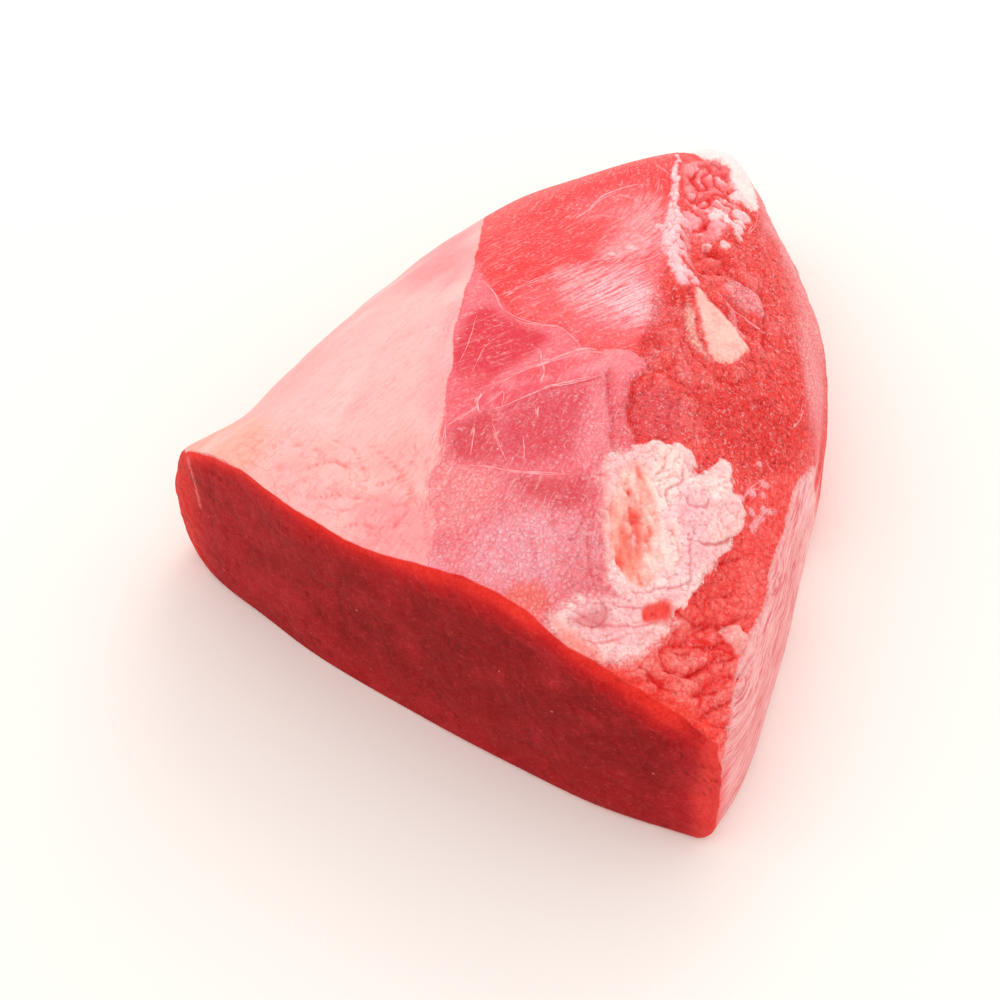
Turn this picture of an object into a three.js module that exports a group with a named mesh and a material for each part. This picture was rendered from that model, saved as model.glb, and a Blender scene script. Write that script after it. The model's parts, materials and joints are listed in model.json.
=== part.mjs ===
// A raw beef top sirloin roast, boned and trimmed, lying on its flat underside.
// It is one lump of meat. The knife left one flat cut face at the front. The rest is the outside of the muscles:
// a domed top with a seam, folds and pads of fat, a long sloping left flank that runs back to a blunt point, and
// a steep right flank under a film of silverskin.
// Millimetres, +Z up, the cut face towards -Y, the origin on the board under the middle of the roast.
import * as THREE from "three";
import { ImprovedNoise } from "three/addons/math/ImprovedNoise.js";

// Three rails run round the roast: the rim, where the top begins, the girth, where it is widest, and the foot,
// where it meets the board. Each station gives one point of every rail, and the skin is stretched over them.
const LEFT_CORNER = { rim: [-98, -119, 63], girth: [-115.5, -113, 38], foot: [-99, -112.5] };
const RIGHT_CORNER = { rim: [110, -118, 54], girth: [117, -121, 26], foot: [111, -121] };
const CUT_STATIONS = [
  LEFT_CORNER,
  { rim: [-90, -123, 72.5], girth: [-103, -121.5, 35], foot: [-93, -119.5] },
  { rim: [-78, -125, 79], girth: [-88, -125, 33], foot: [-83, -123.5] },
  { rim: [-62, -126, 81.5], girth: [-69, -127, 33], foot: [-67, -126] },
  { rim: [-40, -126, 77.5], girth: [-43, -130.5, 34], foot: [-42, -130.2] },
  { rim: [0, -126, 81], girth: [-2, -131.6, 34], foot: [-2, -132.2] },
  { rim: [42, -126, 87], girth: [42, -131.6, 36], foot: [41, -132.2] },
  { rim: [74, -125, 75.5], girth: [77, -129.6, 34], foot: [76, -129.4] },
  RIGHT_CORNER,
];
const FLANK_STATIONS = [
  RIGHT_CORNER,
  { rim: [105, -92, 59], girth: [114.5, -96, 22], foot: [112, -96] },
  { rim: [97.5, -60, 60.5], girth: [106.5, -61, 22], foot: [104, -61] },
  { rim: [86, -20, 62], girth: [93, -20, 24], foot: [90, -20] },
  { rim: [68, 16, 66], girth: [80, 20, 30], foot: [76, 19] },
  { rim: [37, 44, 71], girth: [58.5, 64, 35], foot: [54.5, 60] },
  { rim: [8, 78, 71], girth: [24, 103, 34], foot: [20, 97] },
  { rim: [-6, 92, 72], girth: [2.5, 121, 34], foot: [-0.5, 114] },
  { rim: [-19, 100, 73], girth: [-22, 140.1, 34], foot: [-22, 132] },
  { rim: [-36, 86, 75.5], girth: [-51, 118, 36], foot: [-47, 110] },
  { rim: [-48.5, 43.5, 80], girth: [-82, 67, 37], foot: [-75, 61] },
  { rim: [-62, -8, 81], girth: [-98.8, -3, 38], foot: [-90.5, -3] },
  { rim: [-71.5, -66, 79.5], girth: [-104, -60, 38], foot: [-96, -62] },
  { rim: [-88, -104, 69], girth: [-109, -96, 37], foot: [-98, -99] },
  LEFT_CORNER,
];

// The skin's grid: cells along each of the top's four sides, and rows from the rim down to the foot.
const SIDE_CELLS = 46;
const WALL_ROWS = [0, 0.025, 0.06, 0.11, 0.18, 0.27, 0.37, 0.48, 0.59, 0.7, 0.8, 0.89, 0.955, 1];
const UNDERSIDE_RINGS = [0.93, 0.72];
const PROFILE_STEPS = 80;

// How square the wall is between rim and girth: 2 is a quarter ellipse, more is a flat wall with a tight edge.
const CUT_SQUARENESS = 7;
const CORNER_SQUARENESS = 1.7;
const WALL_SQUARENESS = 3.2;
const FLANK_SQUARENESS = 1.85;
const HEEL_SQUARENESS = 3.5;
const LEFT_CORNER_COLUMNS = 9; // the columns over which the squareness changes at each end of the cut
const RIGHT_CORNER_COLUMNS = 5;

// The dome above a surface stretched straight from rim to rim, and where its crest lies across and along the top.
const CROWN_RISE = 17;
const CREST_ACROSS = 0.5;
const CREST_ALONG = 0.55;

// From this column on, the right flank's edge gives way to a round shoulder.
const SOFT_RIM_START = 1.45 * SIDE_CELLS;
const SOFT_RIM_BLEND = 0.5 * SIDE_CELLS;

// The soft rim is eased within a reach of it, but the right edge and the cut keep clear of that within their own.
const SOFT_RIM_REACH = 44;
const EDGE_REACH = 14;
const CUT_PLANE = -122;
const CUT_REACH = 34;
const EASING_PASSES = 30;

// Pads swell the flesh and hollows sink it, each over an oval on the surface: its centre, its half-length and
// half-width, the way it points in plan, and how high it stands.
const PADS = [
  { name: "right muscle", at: [52, 22, 72], reach: [62, 24], turn: -58, rise: 4.5 },
  { name: "centre muscle", at: [-8, -22, 93], reach: [82, 34], turn: -66, rise: 2.5 },
  { name: "fat patch", at: [62, -66, 88], reach: [30, 17], turn: -52, rise: 3 },
  { name: "fat knob", at: [50, -53, 96], reach: [9, 7], turn: -30, rise: 2 },
  { name: "side lobe", at: [75, -50, 80], reach: [16, 8], turn: -50, rise: 2.5 },
  { name: "hollow in the fat", at: [61, -86, 90], reach: [21, 8], turn: -50, rise: -5.5 },
  { name: "fat wedge", at: [33, 15, 89], reach: [19, 8], turn: -28, rise: 2.5 },
  { name: "gristle at the point", at: [-15, 113, 64], reach: [10, 8], turn: 0, rise: 5 },
  { name: "lump in the seam", at: [3, 70, 75], reach: [12, 6], turn: 20, rise: 3 },
  { name: "lobe beside the seam", at: [33, 37, 78], reach: [16, 7], turn: -30, rise: 2.5 },
  { name: "wrinkled corner", at: [97, -92, 66], reach: [15, 15], turn: 0, rise: 2 },
  { name: "dip behind the left corner", at: [-86, -92, 68], reach: [22, 18], turn: 60, rise: -2.5 },
];

// Folds run along a line on the surface: a furrow has a depth below zero, a ridge above.
const FOLDS = [
  {
    name: "seam", width: 5, rise: 2.5,
    path: [[-26, 101, 70], [-17, 76, 76], [-4, 52, 83], [9, 30, 89], [19, 20, 91]],
  },
  {
    name: "furrow by the seam", width: 6, rise: -4,
    path: [[-14, 92, 71], [-6, 72, 76], [6, 50, 82], [17, 33, 86]],
  },
  {
    name: "furrow at the point", width: 4.5, rise: -3.5,
    path: [[-24, 92, 72], [-19, 106, 69], [-9, 103, 69], [-2, 96, 71]],
  },
  {
    name: "fold right of the fat", width: 5, rise: -3.5,
    path: [[8, 50, 81], [22, 38, 82], [36, 27, 81], [47, 20, 79]],
  },
  {
    name: "seam's lower arm", width: 6, rise: -2.5,
    path: [[19, 20, 91], [21, -6, 97], [29, -32, 98], [40, -60, 97]],
  },
  {
    name: "edge of the fascia", width: 5, rise: -2.5,
    path: [[86, -50, 72], [87, -69, 73], [87, -90, 73], [84, -112, 74]],
  },
  {
    name: "deep corner fold", width: 4.5, rise: -3.5,
    path: [[84, -100, 74], [93, -90, 69], [101, -84, 62]],
  },
  {
    name: "lower corner fold", width: 4.5, rise: -3,
    path: [[80, -113, 74], [93, -103, 68], [104, -102, 60]],
  },
  {
    name: "rim of the pale flank", width: 7, rise: -1.2,
    path: [[-62, 10, 80], [-37, -50, 92], [-20, -82, 91], [0, -112, 85]],
  },
  {
    name: "furrow down the point", width: 9, rise: -4,
    path: [[-14, 118, 62], [-17, 132, 36], [-18, 128, 6]],
  },
  {
    name: "nick at the cut's left end", width: 6, rise: -1.2,
    path: [[-100, -121, 56], [-101, -122, 46], [-99, -124, 34]],
  },
];
const FOLD_STEPS = 40;
const FOLD_TAPER = 0.15; // the share of its length over which a fold fades towards each end
const FOLD_END = 0.25; // how far the fading is short of complete at the very end

// Crags are small uneven lumps and creases. Each reaches a distance from a point on the surface.
const CRAGS = [
  { name: "at the point", at: [0, 76, 75], reach: 22, rise: 2.6 },
  { name: "below the seam", at: [30, 28, 84], reach: 22, rise: 1.8 },
  { name: "in the hollow", at: [62, -84, 89], reach: 18, rise: 2.2 },
  { name: "on the corner", at: [96, -98, 66], reach: 22, rise: 2.4 },
];
const CRAG_SIZE = 15;
const CRAG_HEIGHT = 2.4; // the folded noise seldom passes 0.5, so this brings a lump to about its full rise
const CRAG_DEPTH = 0.6; // and this takes the creases between lumps below the flesh around them

// Long grooves in the silverskin of the right flank, one above the other.
const GROOVE_PITCH = 15;
const GROOVE_DEPTH = 0.8;
const GROOVE_SLOPE = 0.12;
const GROOVE_LEFT_EDGE = 70;
const GROOVE_FADE = 12;
const GROOVE_FACING = [0.5, 0.9]; // how far the skin faces right where a groove begins, and where it is whole

// The flesh is nowhere quite even: swells about this long and this high.
const SWELL_SIZE = 38;
const SWELL_RISE = 1.1;

const RELIEF_FADE = 6; // the relief dies out over this height above the board, so the underside stays flat

const MEAT_COLOUR = 0xc8474a;

const noise = new ImprovedNoise();
const lerp = THREE.MathUtils.lerp;
const clamp = THREE.MathUtils.clamp;

function smoothstep(t) {
  const c = clamp(t, 0, 1);
  return c * c * (3 - 2 * c);
}

// One rail of a run of stations as a curve with evenly spaced points.
function railPoints(stations, rail, cells) {
  const points = stations.map((station) => {
    const [x, y, z = 0] = station[rail];
    return new THREE.Vector3(x, y, z);
  });
  return new THREE.CatmullRomCurve3(points, false, "centripetal").getSpacedPoints(cells);
}

// A whole rail, one point for each column: along the cut first, then round the flanks and back.
function wholeRail(rail) {
  const cut = railPoints(CUT_STATIONS, rail, SIDE_CELLS);
  const flanks = railPoints(FLANK_STATIONS, rail, 3 * SIDE_CELLS);
  return [...cut.slice(0, -1), ...flanks.slice(0, -1)];
}

// How square a column's wall is along the cut (x) and across it (y).
function squarenessOf(column) {
  const n = SIDE_CELLS;
  if (column <= n) {
    const alongCut = smoothstep(column / LEFT_CORNER_COLUMNS);
    return { x: CORNER_SQUARENESS, y: lerp(CORNER_SQUARENESS, CUT_SQUARENESS, alongCut) };
  }
  const alongRight = smoothstep((column - n) / RIGHT_CORNER_COLUMNS);
  const intoFlank = smoothstep((column - SOFT_RIM_START) / SOFT_RIM_BLEND);
  const flank = lerp(WALL_SQUARENESS, FLANK_SQUARENESS, intoFlank);
  return { x: lerp(CORNER_SQUARENESS, flank, alongRight), y: lerp(CUT_SQUARENESS, flank, alongRight) };
}

// A quarter of a superellipse: the share across for a share of the way down.
function superellipse(down, squareness) {
  return (1 - (1 - down) ** squareness) ** (1 / squareness);
}

// The curve of one column from rim to girth and in again to the foot.
function wallPath(rim, girth, foot, square) {
  const path = [];
  for (let k = 0; k <= PROFILE_STEPS; k += 1) {
    const down = 1 - Math.cos((Math.PI / 2) * (k / PROFILE_STEPS));
    const x = lerp(rim.x, girth.x, superellipse(down, square.x));
    const y = lerp(rim.y, girth.y, superellipse(down, square.y));
    path.push(new THREE.Vector3(x, y, lerp(rim.z, girth.z, down)));
  }
  for (let k = 1; k <= PROFILE_STEPS; k += 1) {
    const down = Math.sin((Math.PI / 2) * (k / PROFILE_STEPS));
    const inward = 1 - superellipse(1 - down, HEEL_SQUARENESS);
    path.push(girth.clone().lerp(foot, inward).setZ(lerp(girth.z, 0, down)));
  }
  return path;
}

// The points of a path at the given shares of its length.
function pointsAlong(path, shares) {
  const reached = [0];
  for (let k = 1; k < path.length; k += 1) reached.push(reached[k - 1] + path[k].distanceTo(path[k - 1]));
  const total = reached[reached.length - 1];
  return shares.map((share) => {
    let k = 1;
    while (k < path.length - 1 && reached[k] < share * total) k += 1;
    const between = (share * total - reached[k - 1]) / (reached[k] - reached[k - 1]);
    return path[k - 1].clone().lerp(path[k], clamp(between, 0, 1));
  });
}

// The dome's share of its full rise. It leaves the left flank and the point level, and the cut and the right
// flank at a slope, because those two meet it in an edge.
function domeShare(a, b) {
  const pastCrest = (a - CREST_ACROSS) / (1 - CREST_ACROSS);
  const across = a < CREST_ACROSS ? smoothstep(a / CREST_ACROSS) : 1 - pastCrest ** 2;
  const beforeCrest = 1 - b / CREST_ALONG;
  const along = b < CREST_ALONG ? 1 - beforeCrest ** 2 : 1 - smoothstep((b - CREST_ALONG) / (1 - CREST_ALONG));
  return across * along;
}

// The top is stretched between its four sides (a Coons patch), then raised into the dome.
function topGrid(rim) {
  const n = SIDE_CELLS;
  const front = (i) => rim[i];
  const right = (j) => rim[n + j];
  const back = (i) => rim[3 * n - i];
  const left = (j) => rim[(4 * n - j) % (4 * n)];
  const pointAt = (i, j) => {
    const a = i / n;
    const b = j / n;
    const point = new THREE.Vector3();
    point.addScaledVector(front(i), 1 - b).addScaledVector(back(i), b);
    point.addScaledVector(left(j), 1 - a).addScaledVector(right(j), a);
    point.addScaledVector(front(0), -(1 - a) * (1 - b)).addScaledVector(front(n), -a * (1 - b));
    point.addScaledVector(back(0), -(1 - a) * b).addScaledVector(back(n), -a * b);
    point.z += CROWN_RISE * domeShare(a, b);
    return point;
  };
  const steps = Array.from({ length: n + 1 }, (_, k) => k);
  return steps.map((j) => steps.map((i) => pointAt(i, j)));
}

// The skin as points and four-sided cells: the top, the walls row by row, and the underside ring by ring.
function skin() {
  const n = SIDE_CELLS;
  const columns = 4 * n;
  const points = [];
  const cells = [];
  const add = (point) => points.push(point) - 1;

  const rim = wholeRail("rim");
  const girth = wholeRail("girth");
  const foot = wholeRail("foot");
  const top = topGrid(rim).map((row) => row.map(add));
  for (let j = 0; j < n; j += 1) {
    for (let i = 0; i < n; i += 1) cells.push([top[j][i], top[j][i + 1], top[j + 1][i + 1], top[j + 1][i]]);
  }

  const ringBelow = (above, below) => {
    above.forEach((corner, c) => {
      const next = (c + 1) % columns;
      cells.push([corner, below[c], below[next], above[next]]);
    });
    return below;
  };
  const rimColumn = (c) => {
    if (c <= n) return top[0][c];
    if (c <= 2 * n) return top[c - n][n];
    if (c <= 3 * n) return top[n][3 * n - c];
    return top[4 * n - c][0];
  };
  const walls = rim.map((point, c) => {
    return pointsAlong(wallPath(point, girth[c], foot[c], squarenessOf(c)), WALL_ROWS);
  });
  let ring = rim.map((_, c) => rimColumn(c));
  for (let row = 1; row < WALL_ROWS.length; row += 1) {
    ring = ringBelow(ring, walls.map((wall) => add(wall[row])));
  }

  const middle = foot.reduce((sum, point) => sum.add(point), new THREE.Vector3()).divideScalar(columns);
  for (const share of UNDERSIDE_RINGS) {
    ring = ringBelow(ring, foot.map((point) => add(middle.clone().lerp(point, share))));
  }
  const centre = add(middle);
  ring.forEach((corner, c) => cells.push([corner, centre, ring[(c + 1) % columns]]));
  return { points, cells };
}

function neighboursOf({ points, cells }) {
  const beside = points.map(() => new Set());
  for (const cell of cells) {
    cell.forEach((corner, k) => {
      const next = cell[(k + 1) % cell.length];
      beside[corner].add(next);
      beside[next].add(corner);
    });
  }
  return beside;
}

// The left flank and the point have no hard line where they meet the top, so the points near that rim are averaged
// with their neighbours again and again. The cut and the edge of the right flank stay as they are.
function easeSoftRim({ points, cells }) {
  const rim = wholeRail("rim");
  const edge = rim.slice(SIDE_CELLS, SOFT_RIM_START);
  const soft = rim.slice(SOFT_RIM_START);
  const nearest = (line, point) => Math.min(...line.map((p) => p.distanceTo(point)));
  const beside = neighboursOf({ points, cells });
  const shares = points.map((point) => {
    const softly = smoothstep(2 * (1 - nearest(soft, point) / SOFT_RIM_REACH));
    const clearOfCut = smoothstep((point.y - CUT_PLANE) / CUT_REACH);
    return 0.5 * softly * clearOfCut * smoothstep(nearest(edge, point) / EDGE_REACH);
  });
  for (let pass = 0; pass < EASING_PASSES; pass += 1) {
    const last = points.map((point) => point.clone());
    points.forEach((point, k) => {
      if (shares[k] === 0) return;
      const mean = new THREE.Vector3();
      for (const other of beside[k]) mean.add(last[other]);
      point.lerp(mean.divideScalar(beside[k].size), shares[k]);
    });
  }
}

function toGeometry({ points, cells }) {
  const index = [];
  for (const [a, b, c, d] of cells) {
    index.push(a, b, c);
    if (d !== undefined) index.push(a, c, d);
  }
  const geometry = new THREE.BufferGeometry().setFromPoints(points);
  geometry.setIndex(index);
  geometry.computeVertexNormals();
  return geometry;
}

// How far a pad or hollow lifts a point: a bell over its oval.
function padRise(point, { at, reach, turn, rise }) {
  const offset = new THREE.Vector3(...at).sub(point);
  const heading = THREE.MathUtils.degToRad(turn);
  const along = offset.x * Math.cos(heading) + offset.y * Math.sin(heading);
  const across = Math.hypot(offset.y * Math.cos(heading) - offset.x * Math.sin(heading), offset.z);
  return rise * Math.exp(-((along / reach[0]) ** 2) - (across / reach[1]) ** 2);
}

// How far a fold lifts a point: a bell across its line, gone at its two ends.
function foldRise(point, { line, width, rise }) {
  let nearest = Infinity;
  let share = 0;
  line.forEach((p, k) => {
    const away = p.distanceTo(point);
    if (away < nearest) {
      nearest = away;
      share = k / (line.length - 1);
    }
  });
  const taper = smoothstep(Math.min(share, 1 - share) / FOLD_TAPER + FOLD_END);
  return rise * taper * Math.exp(-((nearest / width) ** 2));
}

// Creased lumps: the noise folded at zero makes round lumps with sharp creases between them.
function cragRise(point, { at, reach, rise }) {
  const away = new THREE.Vector3(...at).distanceTo(point);
  const share = Math.exp(-((away / reach) ** 2));
  const s = CRAG_SIZE;
  const lumps = Math.abs(noise.noise(point.x / s, point.y / s, point.z / s));
  return rise * share * (CRAG_HEIGHT * lumps - CRAG_DEPTH);
}

function grooveRise(point, normal) {
  const [faint, whole] = GROOVE_FACING;
  const facing = smoothstep((normal.x - faint) / (whole - faint));
  const share = facing * smoothstep((point.x - GROOVE_LEFT_EDGE) / GROOVE_FADE);
  const height = point.z + GROOVE_SLOPE * point.y;
  return -GROOVE_DEPTH * share * Math.cos((2 * Math.PI * height) / GROOVE_PITCH);
}

function reliefAt(point, normal, folds) {
  const s = SWELL_SIZE;
  let rise = SWELL_RISE * noise.noise(point.x / s, point.y / s, point.z / s);
  for (const pad of PADS) rise += padRise(point, pad);
  for (const fold of folds) rise += foldRise(point, fold);
  for (const crag of CRAGS) rise += cragRise(point, crag);
  return rise + grooveRise(point, normal);
}

// Every point of the flesh moves along its own normal by the relief there.
function raiseRelief(mesh) {
  const folds = FOLDS.map((fold) => {
    const path = fold.path.map((p) => new THREE.Vector3(...p));
    return { ...fold, line: new THREE.CatmullRomCurve3(path, false, "centripetal").getSpacedPoints(FOLD_STEPS) };
  });
  const normals = toGeometry(mesh).getAttribute("normal");
  mesh.points.forEach((point, k) => {
    if (point.z === 0) return;
    const normal = new THREE.Vector3().fromBufferAttribute(normals, k);
    const liftable = smoothstep(point.z / RELIEF_FADE);
    point.addScaledVector(normal, liftable * reliefAt(point, normal, folds));
  });
}

// The roast, moved sideways so that the origin is under the middle of its box.
function roastGeometry() {
  const mesh = skin();
  easeSoftRim(mesh);
  raiseRelief(mesh);
  const geometry = toGeometry(mesh);
  geometry.computeBoundingBox();
  const centre = geometry.boundingBox.getCenter(new THREE.Vector3());
  return geometry.translate(-centre.x, -centre.y, 0);
}

const meat = new THREE.MeshStandardMaterial({ color: MEAT_COLOUR, roughness: 0.42, metalness: 0 });
const roast = new THREE.Mesh(roastGeometry(), meat);
roast.name = "top_sirloin";

const group = new THREE.Group();
group.add(roast);

export default group;
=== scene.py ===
import json
import math
import random

import bpy
import numpy as np
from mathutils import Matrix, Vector, noise
from mathutils.bvhtree import BVHTree

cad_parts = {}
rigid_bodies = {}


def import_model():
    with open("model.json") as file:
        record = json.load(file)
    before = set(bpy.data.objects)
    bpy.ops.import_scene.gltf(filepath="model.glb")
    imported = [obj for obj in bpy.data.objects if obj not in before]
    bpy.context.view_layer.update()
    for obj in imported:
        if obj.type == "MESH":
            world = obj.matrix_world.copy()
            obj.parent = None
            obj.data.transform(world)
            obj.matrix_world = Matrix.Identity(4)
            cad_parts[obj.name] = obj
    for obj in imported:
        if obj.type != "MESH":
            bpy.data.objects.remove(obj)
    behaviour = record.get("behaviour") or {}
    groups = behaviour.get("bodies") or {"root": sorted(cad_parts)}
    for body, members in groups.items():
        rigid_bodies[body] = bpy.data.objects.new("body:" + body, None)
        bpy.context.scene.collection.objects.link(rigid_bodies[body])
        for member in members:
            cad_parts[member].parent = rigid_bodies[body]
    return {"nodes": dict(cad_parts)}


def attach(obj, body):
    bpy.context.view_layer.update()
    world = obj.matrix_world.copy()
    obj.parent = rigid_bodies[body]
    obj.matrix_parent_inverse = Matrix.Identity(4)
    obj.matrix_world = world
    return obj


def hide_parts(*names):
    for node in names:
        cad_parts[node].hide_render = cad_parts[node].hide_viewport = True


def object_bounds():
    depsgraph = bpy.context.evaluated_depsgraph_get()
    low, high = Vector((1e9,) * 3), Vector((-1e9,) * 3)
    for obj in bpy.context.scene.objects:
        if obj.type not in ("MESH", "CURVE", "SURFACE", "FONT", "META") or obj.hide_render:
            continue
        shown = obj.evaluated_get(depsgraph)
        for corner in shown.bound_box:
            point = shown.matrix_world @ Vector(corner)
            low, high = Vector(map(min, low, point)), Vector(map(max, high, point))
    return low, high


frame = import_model()
cad_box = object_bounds()

# The roast lies on a plain warm white worktop in a bright room. The light comes from all round,
# with a soft lamp behind that leaves a pale sheen on the wet skin and a faint warm shadow.
WORKTOP_SIZE = 6.0
WORKTOP_DROP = 0.0003  # just under the meat, so the two flat faces don't fight
CAMERA_AZIMUTH = math.radians(33.3)
CAMERA_HEIGHT = math.radians(50.0)
CAMERA_DISTANCE = 0.8
CAMERA_TARGET = Vector((-0.01046, -0.06109, 0.035))
CAMERA_LENS = 80.35
KEY_DIRECTION = Vector((-0.30, 0.72, 0.62))
KEY_DISTANCE = 1.7
KEY_SIZE = 1.0
KEY_POWER = 5.0
ROOM_COLOUR = (1.0, 0.985, 0.97, 1)
ROOM_STRENGTH = 1.08


def shade(red, green, blue):
    """A colour given as 0 to 255 screen values, as the linear numbers that paint needs."""
    c = np.array((red, green, blue), float) / 255
    return np.where(c <= 0.04045, c / 12.92, ((c + 0.055) / 1.055) ** 2.4)


def node(tree, kind, inputs=None, **settings):
    """Adds a shader node; an input is either another node's output, which is linked, or a value."""
    made = tree.nodes.new(kind)
    for name, value in settings.items():
        setattr(made, name, value)
    for name, value in (inputs or {}).items():
        if isinstance(value, bpy.types.NodeSocket):
            tree.links.new(value, made.inputs[name])
        else:
            made.inputs[name].default_value = value
    return made


bpy.ops.object.select_all(action="DESELECT")
bpy.ops.mesh.primitive_grid_add(
    x_subdivisions=8, y_subdivisions=8, size=WORKTOP_SIZE, location=(0, 0, -WORKTOP_DROP)
)
worktop = bpy.context.object
worktop.name = "worktop"
laminate = bpy.data.materials.new("warm_white_worktop")
laminate.use_nodes = True
tree = laminate.node_tree
surface = tree.nodes["Principled BSDF"]
surface.inputs["Roughness"].default_value = 0.7
surface.inputs["Specular IOR Level"].default_value = 0.1
place = node(tree, "ShaderNodeTexCoord")
cloud = node(tree, "ShaderNodeTexNoise", {"Vector": place.outputs["Object"], "Scale": 3.0})
tone = node(tree, "ShaderNodeMix", {"Factor": cloud.outputs["Fac"]}, data_type="RGBA")
tone.inputs["A"].default_value = (*shade(252, 245, 239), 1)
tone.inputs["B"].default_value = (*shade(253, 247, 242), 1)
tree.links.new(tone.outputs["Result"], surface.inputs["Base Color"])
worktop.data.materials.append(laminate)

back = Vector((
    math.sin(CAMERA_AZIMUTH) * math.cos(CAMERA_HEIGHT),
    -math.cos(CAMERA_AZIMUTH) * math.cos(CAMERA_HEIGHT),
    math.sin(CAMERA_HEIGHT),
))
bpy.ops.object.camera_add(
    location=CAMERA_TARGET + back * CAMERA_DISTANCE,
    rotation=(-back).to_track_quat("-Z", "Y").to_euler(),
)
camera = bpy.context.object
camera.name = "photo_camera"
camera.data.lens = CAMERA_LENS
camera.data.sensor_width = 36.0
camera.data.clip_start, camera.data.clip_end = 0.05, 20.0
bpy.context.scene.camera = camera

KEY_DIRECTION.normalize()
bpy.ops.object.light_add(
    type="AREA",
    location=KEY_DIRECTION * KEY_DISTANCE,
    rotation=(-KEY_DIRECTION).to_track_quat("-Z", "Y").to_euler(),
)
key = bpy.context.object
key.name = "soft_key"
key.data.shape = "DISK"
key.data.size = KEY_SIZE
key.data.energy = KEY_POWER
key.data.color = (1.0, 0.985, 0.97)
room = bpy.data.worlds.new("bright_room")
room.use_nodes = True
room.node_tree.nodes["Background"].inputs["Color"].default_value = ROOM_COLOUR
room.node_tree.nodes["Background"].inputs["Strength"].default_value = ROOM_STRENGTH
bpy.context.scene.world = room
bpy.context.scene.view_settings.view_transform = "Standard"

# The block of beef is one group of muscles, trimmed bare, with thin wet skin over red flesh.
# Its shape comes from the solid, rounded off, and is finer where the eye finds small relief.
MILLIMETRES = 1000.0
WELD = 2e-6
ROUNDING_LEVELS = 2
FINE_PLACES = (((44, 112), (-127, -55)), ((-28, 32), (24, 106)))
FINE_UP = 0.3

cad = frame["nodes"]["top_sirloin"]
meat = bpy.data.objects.new("beef_top_sirloin", cad.data.copy())
bpy.context.scene.collection.objects.link(meat)
meat.data.materials.clear()
bpy.ops.object.select_all(action="DESELECT")
bpy.context.view_layer.objects.active = meat
meat.select_set(True)
if meat.data.has_custom_normals:
    bpy.ops.mesh.customdata_custom_splitnormals_clear()
bpy.ops.object.mode_set(mode="EDIT")
bpy.ops.mesh.select_all(action="SELECT")
bpy.ops.mesh.remove_doubles(threshold=WELD)
bpy.ops.mesh.tris_convert_to_quads(face_threshold=math.pi, shape_threshold=math.pi)
bpy.ops.object.mode_set(mode="OBJECT")
bpy.ops.object.modifier_add(type="SUBSURF")
rounding = meat.modifiers[-1]
rounding.levels = rounding.render_levels = ROUNDING_LEVELS
bpy.ops.object.modifier_apply(modifier=rounding.name)


def read(data, name, width):
    """One property of every vertex, face or corner of a mesh, as rows of numbers."""
    values = np.zeros(len(data) * width, np.float32)
    data.foreach_get(name, values)
    return values.reshape(-1, width).astype(float) if width > 1 else values.astype(float)


def edit_faces(chosen):
    """Opens the meat in edit mode with exactly these faces selected."""
    mesh = meat.data
    for part in (mesh.vertices, mesh.edges):
        part.foreach_set("select", np.zeros(len(part), bool))
    mesh.polygons.foreach_set("select", chosen)
    bpy.ops.object.mode_set(mode="EDIT")
    bpy.ops.mesh.select_mode(type="FACE")


for rounds, least, most, left_of in (  # normals between least and most, and x in millimetres
    (4, (-1, -1, -1), (1, 1, -0.9), 200),
    (2, (-1, -0.3, -0.9), (0.3, 1, 0.15), 200),
    (2, (-1, -0.5, -0.9), (1, 1, 1), -50),
):
    facing = read(meat.data.polygons, "normal", 3)
    centres = read(meat.data.polygons, "center", 3) * MILLIMETRES
    edit_faces(np.all((facing >= least) & (facing <= most), axis=1)
               & (centres[:, 0] < left_of))
    bpy.ops.mesh.select_mode(type="VERT")
    bpy.ops.mesh.select_less()
    bpy.ops.mesh.unsubdivide(iterations=rounds)
    bpy.ops.object.mode_set(mode="OBJECT")

centres = read(meat.data.polygons, "center", 3) * MILLIMETRES
facing = read(meat.data.polygons, "normal", 3)
fine = np.zeros(len(centres), bool)
for across, along in FINE_PLACES:
    fine |= ((centres[:, 0] > across[0]) & (centres[:, 0] < across[1])
             & (centres[:, 1] > along[0]) & (centres[:, 1] < along[1]))
edit_faces(fine & (facing[:, 2] > FINE_UP))
bpy.ops.mesh.subdivide(number_cuts=1, smoothness=0.0)
bpy.ops.object.mode_set(mode="OBJECT")
bpy.ops.object.shade_smooth()

spot = read(meat.data.vertices, "co", 3) * MILLIMETRES
normal = read(meat.data.vertices, "normal", 3)
relief = np.zeros(len(spot))
paint = {layer: np.tile(shade(250, 100, 98), (len(spot), 1)) for layer in ("flesh", "film", "slice")}
cover = np.full(len(spot), -4.0)
streaky = np.zeros(len(spot))
arcing = np.zeros(len(spot))
netted = np.zeros(len(spot))
veined = np.zeros(len(spot))
sheen = np.zeros(len(spot))
glinting = np.zeros(len(spot))
wet = np.full(len(spot), 0.5)


def ramp(value, low, high):
    """0 below low, 1 above high, smooth between; low may be the greater."""
    t = np.clip((value - low) / (high - low), 0, 1)
    return t * t * (3 - 2 * t)


def ripple(size, seed=0.0, at=None):
    """Soft noise from -1 to 1 at every vertex, with lumps about size millimetres across."""
    grid = (spot if at is None else at) / size + seed
    return np.array([noise.noise(row) for row in grid.tolist()])


def ridges(size, seed=0.0, at=None):
    """Noise with sharp valleys, 0 in the valleys and up to 1 on the rounded crests."""
    return np.clip(np.abs(ripple(size, seed, at)) * 2.2, 0, 1)


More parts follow.
